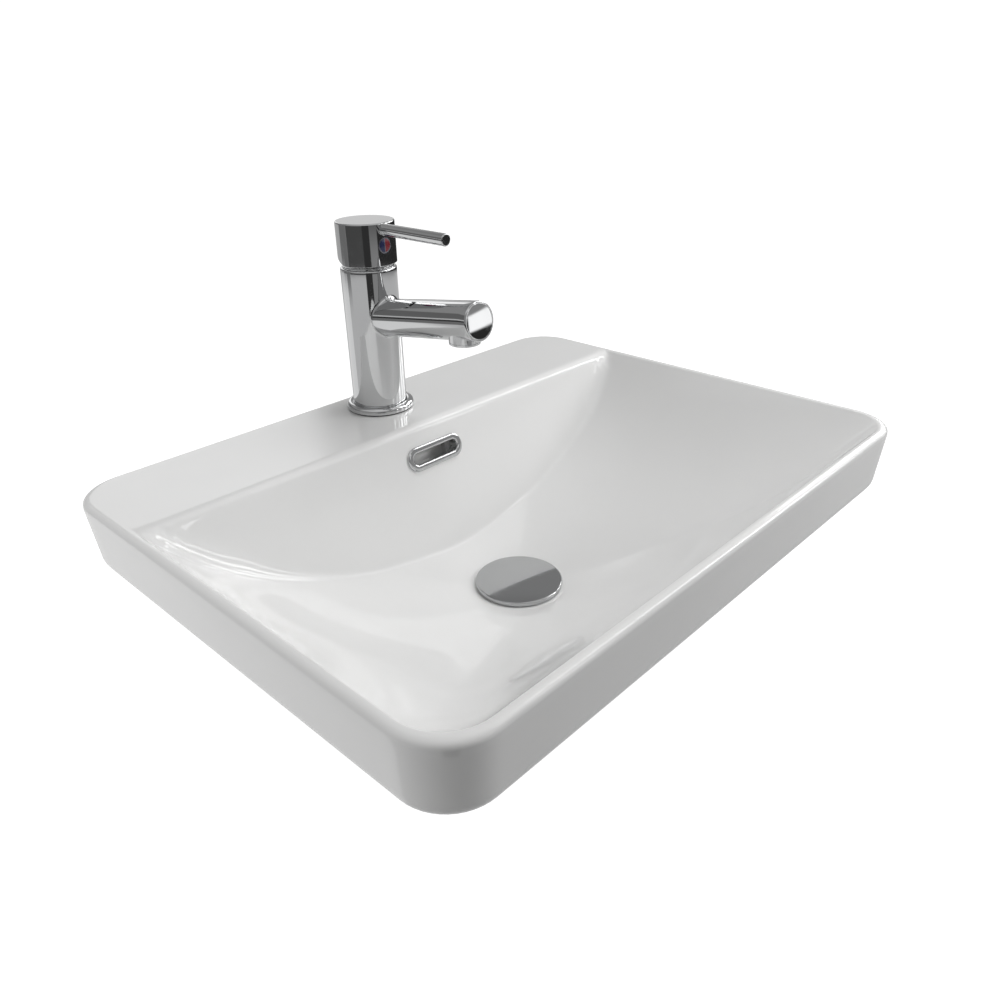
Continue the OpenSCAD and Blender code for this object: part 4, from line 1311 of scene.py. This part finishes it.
    def spout(self, on_spout: np.ndarray) -> np.ndarray:
        """The rows of the spout, from the rounding to the middle of the recess in its end."""
        way, across, over = self.frame_of_spout()
        phi = np.arange(len(on_spout)) * 2 * math.pi / len(on_spout)
        spoke = np.cos(phi)[:, None] * across + np.sin(phi)[:, None] * over
        root = np.array([0.0, 0.0, self.spout_axis])
        run = ((on_spout - root) @ way)[:, None]
        edge, end = self.spout_edge, self.spout_l - self.spout_edge
        rows = [root + (run + (end - run) * t) * way + self.spout_r * spoke for t in np.linspace(0, 1, 16)]
        recess, seat = self.end_plug_r + PLAY, self.spout_l - self.end_plug_t
        profile = [
            (self.spout_r - edge * (1 - math.cos(a)), end + edge * math.sin(a))
            for a in np.radians([18, 36, 54, 72, 90])
        ]
        profile += [(recess, self.spout_l), (recess, seat), (EYE, seat)]
        return np.array(rows + [root + d * way + r * spoke for r, d in profile])

    def body(self) -> bpy.types.Object:
        """Makes the body and spout in one casting, with its chamber and waterways."""
        centre, on_body, on_spout = self.junction()
        mould = Mould()
        mould.grid(self.wall(on_body))
        mould.grid(self.bend(centre, on_body, on_spout))
        mould.grid(self.spout(on_spout))
        top, edge, seat = self.body_h, self.body_edge, self.body_h - self.nut_depth
        rim = [
            (self.body_r - edge * (1 - math.cos(a)), top - edge * (1 - math.sin(a)))
            for a in np.radians(np.linspace(0, 90, 7))
        ]
        chamber = [
            (self.nut_r, top), (self.nut_r, seat), (self.chamber_r, seat),
            (self.chamber_r, self.chamber_floor), (EYE, self.chamber_floor),
        ]
        foot = [
            (self.body_r, self.foot + self.foot_ease), (self.body_r - self.foot_ease, self.foot),
            (EYE, self.foot),
        ]
        for profile in (rim + chamber, foot):
            mould.grid(np.array([self.circle(r, z) for r, z in profile]))
        obj = mould.place(self.at()).finish("tap_casting")
        carve(obj, self.cuts())
        return dress(obj, Body.UNIT, CHROME, ["tap_body"])

    def cuts(self) -> list[Mould]:
        """The ports, the stud's hole, the waterways and the aerator's seat."""
        top = self.chamber_floor + OVER
        bars = []
        for x in (-self.port_x, self.port_x):
            port = self.at() @ move(x, self.port_y)
            bars += [(self.port_r, 0.0, self.port_l, port), (self.inlet_r, self.port_l - OVER, top, port)]
        start, seat = self.spout_bore_from, self.at() @ move(y=-self.aerator_reach)
        bore_end = self.spout_l - self.end_plug_t + 0.5 - start
        bars += [
            (self.stud_r + PLAY, 0.0, self.foot + self.stud_hole, self.at() @ move(y=self.stud_y)),
            (self.outlet_r, self.spout_axis, top, self.at() @ move(y=-self.outlet_y)),
            (self.spout_bore_r, 0.0, bore_end, self.along_spout(start)),
            (self.aerator_r + PLAY, self.under_spout() - self.spout_r, self.aerator_top + PLAY, seat),
        ]
        return [Mould().rod(r, low, high, BORE_SIDES).place(place) for r, low, high, place in bars]

    def end_plug(self) -> bpy.types.Object:
        """Makes the polished disc in the spout's end."""
        r, t = self.end_plug_r, self.end_plug_t
        mould = Mould().spin(soften([(0, 0), (r, 0), (r, t, 0.45), (0, t)]), PART_SIDES)
        mould.place(self.along_spout(self.spout_l - t))
        return dress(mould.finish("spout_disc", 50.0), Body.UNIT, CHROME, ["spout_end_plug"])

    def aerator(self) -> bpy.types.Object:
        """Makes the sleeve that holds the stream straightener."""
        low = self.under_spout() - self.aerator_drop
        high, r = self.aerator_top - 1.5, self.aerator_r
        mould = Mould().spin(soften([
            (r - 1.8, high), (r - 1.8, low + 1.6), (r - 3.0, low + 1.6), (r - 3.0, low + 0.4),
            (r - 2.6, low), (r, low, 0.7), (r, low + 1.7), (r - 0.3, low + 1.8), (r - 0.3, low + 2.1),
            (r, low + 2.2), (r, high), (r - 1.8, high),
        ]), PART_SIDES)
        mould.place(self.at() @ move(y=-self.aerator_reach))
        return dress(mould.finish("aerator_sleeve"), Body.UNIT, CHROME, ["aerator_housing"])

    def foot_ring(self) -> bpy.types.Object:
        """Makes the rounded ring at the tap's foot."""
        inner, top = self.body_r + PLAY, self.foot + self.ring_h
        mould = Mould().spin(soften([
            (inner, self.foot), (self.ring_r, self.foot, 0.25), (self.ring_r, top, 3.4), (inner + 0.6, top),
            (inner, top - 0.5), (inner, self.foot),
        ], 10), 128)
        obj = mould.place(self.at()).finish("tap_foot_ring")
        return dress(obj, Body.UNIT, CHROME, ["tap_base_ring"])

    def cover(self) -> bpy.types.Object:
        """Makes the thin polished ring over the cartridge's nut."""
        low, top = self.body_h, self.body_h + self.cover_t
        bore, step = self.cover_bore_r, self.cover_step_r
        mould = Mould().spin(soften([
            (bore, low - 0.4), (step, low - 0.4), (step, low), (self.cover_r, low, 0.2),
            (self.cover_r, top, 0.6), (bore, top, 0.3), (bore, low - 0.4),
        ]), BODY_SIDES)
        obj = mould.place(self.at()).finish("tap_cover_ring")
        return dress(obj, Body.UNIT, CHROME, ["cover_ring"])

    def stud(self) -> bpy.types.Object:
        """Makes the threaded stud."""
        low, high, r = self.stud_low - self.deck_z, self.foot + self.stud_high, self.stud_r
        count = int((high - low - 1.0) / self.stud_pitch)
        turns = thread(r - 0.6, r, low + 0.5, self.stud_pitch, count, (0.1, 0.45, 0.55, 0.9))
        mould = Mould().spin([(0.0, low), (r - 0.7, low), *turns, (r - 0.7, high), (0.0, high)], 40)
        mould.place(self.at() @ move(y=self.stud_y))
        return dress(mould.finish("threaded_stud"), Body.UNIT, BRASS, ["fixing_stud"])

    def stud_nut(self) -> bpy.types.Object:
        """Makes the long six-sided nut with chamfered corners."""
        low, high, half = self.long_nut_low, self.long_nut_high, self.long_nut_half
        corner = half / math.cos(math.radians(30))
        place = move(y=self.y + self.stud_y)
        obj = Mould().prism(polygon(corner, 6, 0.0), low, high).place(place).finish("long_nut", NUT_ANGLE)
        near, far = corner + PLAY, corner + 2
        trim = Mould().spin([
            (far, low - OVER), (half - 0.4, low - 0.5), (near, low + 1.1), (near, high - 1.1),
            (half - 0.4, high + 0.5), (far, high + OVER), (far, low - OVER),
        ], HOLE_SIDES)
        wide, tight = self.stud_r + 1.1, self.stud_r + 0.1
        bore = Mould().spin([
            (0, low - OVER), (wide, low - OVER), (tight, low + 0.6), (tight, high - 0.6),
            (wide, high + OVER), (0, high + OVER),
        ], BORE_SIDES)
        carve(obj, [trim.place(place), bore.place(place)], NUT_ANGLE)
        return dress(obj, Body.UNIT, BRASS, ["fixing_nut"])

    def build(self) -> None:
        """Makes every rebuilt piece of the tap that stays still."""
        self.body()
        self.end_plug()
        self.aerator()
        self.foot_ring()
        self.cover()
        self.stud()
        self.stud_nut()


@dataclass
class Handle:
    """The handle: cap, lever and the hot and cold mark."""

    y: float = 152.0
    foot_z: float = 175.1
    cap_r: float = 23.0
    cap_h: float = 31.9
    wall: float = 3.5
    hollow_h: float = 11.0
    collar_r: float = 8.0
    collar_bottom: float = 7.0
    cut: float = 22.0
    socket: float = 8.1
    socket_top: float = 24.6
    lever_h: float = 27.0
    lever_r: float = 4.5
    lever_root: float = 13.0
    lever_reach: float = 91.0
    screw_r: float = 2.55
    mark_h: float = 15.3
    mark_r: float = 6.0
    mark_t: float = 2.0

    def at(self, height: float = 0.0) -> Matrix:
        """Places a shape on the tap's axis at a height above the cap's lower edge."""
        return move(0, self.y, self.foot_z + height)

    def forward(self, height: float, start: float) -> Matrix:
        """Places a shape at a height, with +Z towards the front, from a distance off the axis."""
        return self.at(height) @ turn(90, "X") @ move(z=start)

    def cap(self) -> bpy.types.Object:
        """Makes the hollow cap, cut away at the back so that it can tip."""
        r, top, collar = self.cap_r, self.cap_h, self.collar_r
        mould = Mould().spin(soften([(0, 0), (r, 0, 0.35), (r, top, 1.1), (0, top)], 8), FACE_SIDES)
        obj = mould.place(self.at()).finish("handle_body")
        inner, half = r - self.wall, self.socket / 2
        hollow = Mould().spin([
            (collar, -OVER), (inner, -OVER), (inner, self.hollow_h), (collar, self.hollow_h),
            (collar, -OVER),
        ], BODY_SIDES)
        core = Mould().rod(collar + OVER, -OVER, self.collar_bottom, HOLE_SIDES)
        wedge = Mould().block((-r - 5, 0, -30), (r + 5, 60, 0)).place(turn(self.cut, "X"))
        socket = Mould().block((-half, -half, self.collar_bottom - OVER), (half, half, self.socket_top))
        cuts = [m.place(self.at()) for m in (hollow, core, wedge, socket)]
        for radius, length, sides, height, start in (
            (self.lever_r + PLAY, r, HOLE_SIDES, self.lever_h, self.lever_root),
            (self.screw_r, r, BORE_SIDES, self.mark_h, 0.0),
            (self.mark_r + PLAY, 2 * self.mark_t, HOLE_SIDES, self.mark_h, r - self.mark_t),
        ):
            cuts.append(Mould().rod(radius, 0, length, sides).place(self.forward(height, start)))
        carve(obj, cuts, 35.0)
        return dress(true_walls(obj), Body.HANDLE, CHROME, ["handle_cap"])

    def lever(self) -> bpy.types.Object:
        """Makes the straight round lever."""
        r, root = self.lever_r, self.lever_root + PLAY
        length = self.lever_reach - root
        mould = Mould().spin(soften([(0, 0), (r, 0, 0.3), (r, length, 0.8), (0, length)], 7), 80)
        obj = mould.place(self.forward(self.lever_h, root)).finish("lever_bar")
        return dress(true_walls(obj), Body.HANDLE, CHROME, ["handle_lever"])

    def mark(self) -> bpy.types.Object:
        """Makes the slightly domed hot and cold mark."""
        r, thick = self.mark_r, self.mark_t - 0.3
        dome = [(r * (1 - t), thick - 0.25 * (1 - t) ** 2) for t in np.linspace(0.06, 1, 8)]
        mould = Mould().spin([(0, 0), (r, 0), (r, thick - 0.35), *dome], 72)
        mould.place(self.forward(self.mark_h, self.cap_r - self.mark_t + PLAY))
        return dress(mould.finish("mark_button"), Body.HANDLE, MARK, ["indicator_plug"])

    def build(self) -> None:
        """Makes every piece of the handle."""
        self.cap()
        self.lever()
        self.mark()


@dataclass
class KeptNodes:
    """The frame's nodes that keep their own shape and get a finish."""

    nodes: dict[str, bpy.types.Object]
    finishes: dict[str, Finish] = field(default_factory=lambda: {
        "waste_flange_seal": RUBBER, "waste_lower_seal": RUBBER, "waste_slip_washer": PLASTIC,
        "click_housing": BRASS, "click_plunger": BRASS, "plug_seal": RUBBER, "tap_gasket": RUBBER,
        "aerator_insert": PLASTIC, "aerator_washer": RUBBER, "fixing_rubber_shoe": RUBBER,
        "fixing_steel_shoe": STEEL, "cartridge_base": PLASTIC, "cartridge_seals": RUBBER,
        "cartridge_fixed_disc": DISC_CERAMIC, "cartridge_moving_disc": DISC_CERAMIC,
        "cartridge_disc_driver": PLASTIC, "cartridge_housing": PLASTIC, "cartridge_rotor": PLASTIC,
        "cartridge_spindle": STEEL, "spindle_pin": STEEL, "cartridge_nut": BRASS, "handle_grub_screw": STEEL,
    })

    def smoother(self) -> bpy.types.NodeTree:
        """A modifier's nodes that merge loose triangles and shade shallow edges smooth."""
        name = "smooth_shallow_edges"
        if name in bpy.data.node_groups:
            return bpy.data.node_groups[name]
        tree = bpy.data.node_groups.new(name, "GeometryNodeTree")
        tree.interface.new_socket("Geometry", in_out="INPUT", socket_type="NodeSocketGeometry")
        tree.interface.new_socket("Geometry", in_out="OUTPUT", socket_type="NodeSocketGeometry")
        recipe = Recipe(tree)
        start = recipe.node("NodeGroupInput")
        merged = recipe.node(
            "GeometryNodeMergeByDistance", inputs={"Geometry": start.outputs[0], "Distance": 1e-6}
        )
        angle = recipe.node("GeometryNodeInputMeshEdgeAngle")
        steep = recipe.wire(angle, 0) > math.radians(NUT_ANGLE)
        smooth = recipe.node(
            "GeometryNodeSetShadeSmooth", {"domain": "FACE"},
            {"Geometry": merged.outputs[0], "Shade Smooth": True},
        )
        sharp = recipe.node("GeometryNodeSetShadeSmooth", {"domain": "EDGE"}, {
            "Geometry": smooth.outputs[0], "Selection": steep, "Shade Smooth": False,
        })
        recipe.node("NodeGroupOutput", inputs={0: sharp.outputs[0]})
        return tree

    def build(self) -> None:
        """Dresses every kept node."""
        for name, finish in self.finishes.items():
            obj = self.nodes[name]
            for slot in obj.material_slots:
                slot.material = finish.material()
            change = obj.modifiers.new("smooth", "NODES")
            change.node_group = self.smoother()
            LOG.info("%s: kept, %s", name, finish.slot)


# Studio


@dataclass(frozen=True)
class Panel:
    """A patch of the room as glossy surfaces mirror it, in degrees; heading 0 is +Y and 90 is +X."""

    heading: float
    half: float
    low: float
    high: float
    light: float
    edge: float = 2.0

    def over(self, below: Number, heading: Wire, rise: Wire) -> Wire:
        """Paints the patch over what lies below it.

        Args:
            below: The brightness so far.
            heading: The ray's heading.
            rise: The ray's rise.

        Returns:
            The brightness with this patch.
        """
        ahead = heading - self.heading + 540.0
        off = abs(ahead.sum("MODULO", ahead, 360.0) - 180.0)
        share = off.ramp(self.half, self.half + self.edge, 1.0, 0.0)
        share = share * rise.ramp(self.low - self.edge, self.low)
        share = share * rise.ramp(self.high, self.high + self.edge, 1.0, 0.0)
        return below + share * (self.light - below)


@dataclass(frozen=True)
class Lamp:
    """A rectangular softbox that glossy surfaces don't mirror, in metres and watts."""

    name: str
    at: tuple[float, float, float]
    aim: tuple[float, float, float]
    size: tuple[float, float]
    power: float

    def hang(self) -> None:
        """Hangs the softbox in the scene."""
        data = bpy.data.lights.new(self.name, "AREA")
        data.shape = "RECTANGLE"
        data.size, data.size_y = self.size
        data.energy = self.power
        obj = bpy.data.objects.new(self.name, data)
        facing = (Vector(self.aim) - Vector(self.at)).to_track_quat("-Z", "Y")
        obj.matrix_world = Matrix.Translation(self.at) @ facing.to_matrix().to_4x4()
        obj.visible_camera = False
        obj.visible_glossy = False
        bpy.context.scene.collection.objects.link(obj)


@dataclass
class Studio:
    """The floor, the lights and the camera."""

    floor_z: float = -150.0
    floor_radii: tuple[float, ...] = (0.001, 300.0, 1500.0, 6000.0)
    eye: tuple[float, float, float] = (-0.41615, -0.38645, 0.31534)
    yaw: float = 0.805
    pitch: float = 0.484
    roll: float = -0.021
    lens: float = 30.317
    sensor: float = 36.0
    soft_light: float = 0.36
    room_light: float = 0.32
    seen_light: float = 1.05
    lamps: tuple[Lamp, ...] = (
        Lamp("overhead", (0.75, -0.2, 1.5), (0.0, 0.0, 0.0), (1.4, 1.4), 15.4),
        Lamp("near_right", (0.75, -0.70, 0.45), (0.15, -0.1, 0.0), (0.5, 0.4), 3.9),
        Lamp("left", (-1.1, 0.5, 0.15), (-0.2, 0.1, 0.0), (0.6, 0.4), 4.3),
    )
    panels: tuple[Panel, ...] = (
        Panel(0, 181, 48, 91, 0.70, 8),
        Panel(5, 45, 45, 75, 0.22, 8),
        Panel(0, 181, -91, -12.5, 0.62, 0.4),
        Panel(133, 93, -12.1, 0, 0.03, 0.2),
        Panel(-96, 34, -12.1, 0, 0.08, 0.2),
        Panel(-42, 17, -12, -4, 0.20, 3),
        Panel(8, 30, -12, 0, 0.50, 4),
        Panel(-35, 26, -2, 2.5, 0.04, 1.2),
        Panel(-35, 26, 4, 7, 0.60, 1.2),
        Panel(-30, 32, 9, 24, 0.16, 2),
        Panel(38, 9, 5, 13, 0.72, 3),
        Panel(25, 7, 7, 27, 1.30, 3),
        Panel(-170, 13, -34, -12, 0.30, 5),
        Panel(-142, 12, -50, 15, 0.04, 2),
        Panel(136, 9, -6, 0, 1.50, 1.5),
        Panel(-18, 22, -60, -14, 0.90, 3),
        Panel(113, 11, 15, 21, 1.20, 1.5),
        Panel(160, 1.5, 14, 24, 4.00, 1),
        Panel(139, 1.5, 12, 50, 3.80, 1),
        Panel(121, 4, 12, 50, 6.40, 1),
        Panel(101, 4, 12, 34, 6.20, 1),
        Panel(82, 6, 12, 34, 5.60, 1),
    )

    def camera(self) -> None:
        """Sets the camera to the photograph's viewpoint."""
        data = bpy.data.cameras.new("camera")
        data.lens, data.sensor_width = self.lens, self.sensor
        data.clip_start, data.clip_end = 0.01, 50.0
        obj = bpy.data.objects.new("camera", data)
        ahead = Vector((
            math.sin(self.yaw) * math.cos(self.pitch),
            math.cos(self.yaw) * math.cos(self.pitch),
            -math.sin(self.pitch),
        ))
        side = Vector((math.cos(self.yaw), -math.sin(self.yaw), 0.0))
        over = side.cross(ahead)
        right = math.cos(self.roll) * side + math.sin(self.roll) * over
        up = -math.sin(self.roll) * side + math.cos(self.roll) * over
        facing = Matrix((right, up, -ahead)).transposed()
        obj.matrix_world = Matrix.Translation(self.eye) @ facing.to_4x4()
        bpy.context.scene.collection.objects.link(obj)
        bpy.context.scene.camera = obj

    def floor(self) -> None:
        """Lays the pale floor, which looks evenly lit to the eye."""
        angles = np.linspace(0, 2 * math.pi, 97)[:-1]
        mould = Mould()
        mould.grid(np.array([
            [(r * math.cos(a), r * math.sin(a), self.floor_z) for a in angles] for r in self.floor_radii
        ]))
        obj = mould.finish("floor", solid=False)
        made = bpy.data.materials.new("pale_floor")
        made.use_nodes = True
        recipe = Recipe(made.node_tree)
        tone = recipe.noise(recipe.place(), scale=3.0)
        seen = recipe.wire(recipe.node("ShaderNodeLightPath"), "Is Camera Ray")
        recipe.principled(
            Base_Color=recipe.blend(tone, rgba(0.20, 0.20, 0.20), rgba(0.22, 0.22, 0.22)),
            Roughness=0.9,
            Specular_IOR_Level=0.1,
            Emission_Color=recipe.blend(seen, rgba(0, 0, 0), rgba(1, 1, 1)),
            Emission_Strength=0.97,
        )
        obj.data.materials.append(made)
        obj.visible_glossy = False

    def world(self) -> None:
        """Lights the room: white to the eye, soft on matt surfaces and full of shapes in glossy ones."""
        made = bpy.data.worlds.new("room")
        made.use_nodes = True
        bpy.context.scene.world = made
        recipe = Recipe(made.node_tree)
        x, y, z = recipe.parts(recipe.node("ShaderNodeTexCoord").outputs["Generated"])
        heading = x.sum("ARCTAN2", x, y) * math.degrees(1.0)
        rise = z.sum("ARCSINE", z) * math.degrees(1.0)
        mirrored: Number = self.room_light
        for panel in self.panels:
            mirrored = panel.over(mirrored, heading, rise)
        soft, glossy, white = (
            recipe.node("ShaderNodeBackground", inputs={"Color": rgba(1, 1, 1), "Strength": light})
            for light in (self.soft_light, mirrored, self.seen_light)
        )
        path = recipe.node("ShaderNodeLightPath")
        first = recipe.node("ShaderNodeMixShader", inputs={
            0: recipe.wire(path, "Is Glossy Ray"), 1: soft.outputs[0], 2: glossy.outputs[0],
        })
        second = recipe.node("ShaderNodeMixShader", inputs={
            0: recipe.wire(path, "Is Camera Ray"), 1: first.outputs[0], 2: white.outputs[0],
        })
        recipe.node("ShaderNodeOutputWorld", inputs={"Surface": second.outputs[0]})

    def build(self) -> None:
        """Sets up everything."""
        scene = bpy.context.scene
        scene.view_settings.view_transform = "Standard"
        scene.view_settings.look = "None"
        self.camera()
        self.floor()
        self.world()
        for lamp in self.lamps:
            lamp.hang()


def main() -> None:
    """Builds the pieces and the studio."""
    logging.basicConfig(level=logging.INFO, format="%(message)s")
    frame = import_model()
    Studio().build()
    basin = BasinBody()
    basin.build()
    OverflowRing(basin).build()
    Waste().build()
    Tap().build()
    Handle().build()
    KeptNodes(frame["nodes"]).build()


if __name__ == "__main__":
    main()
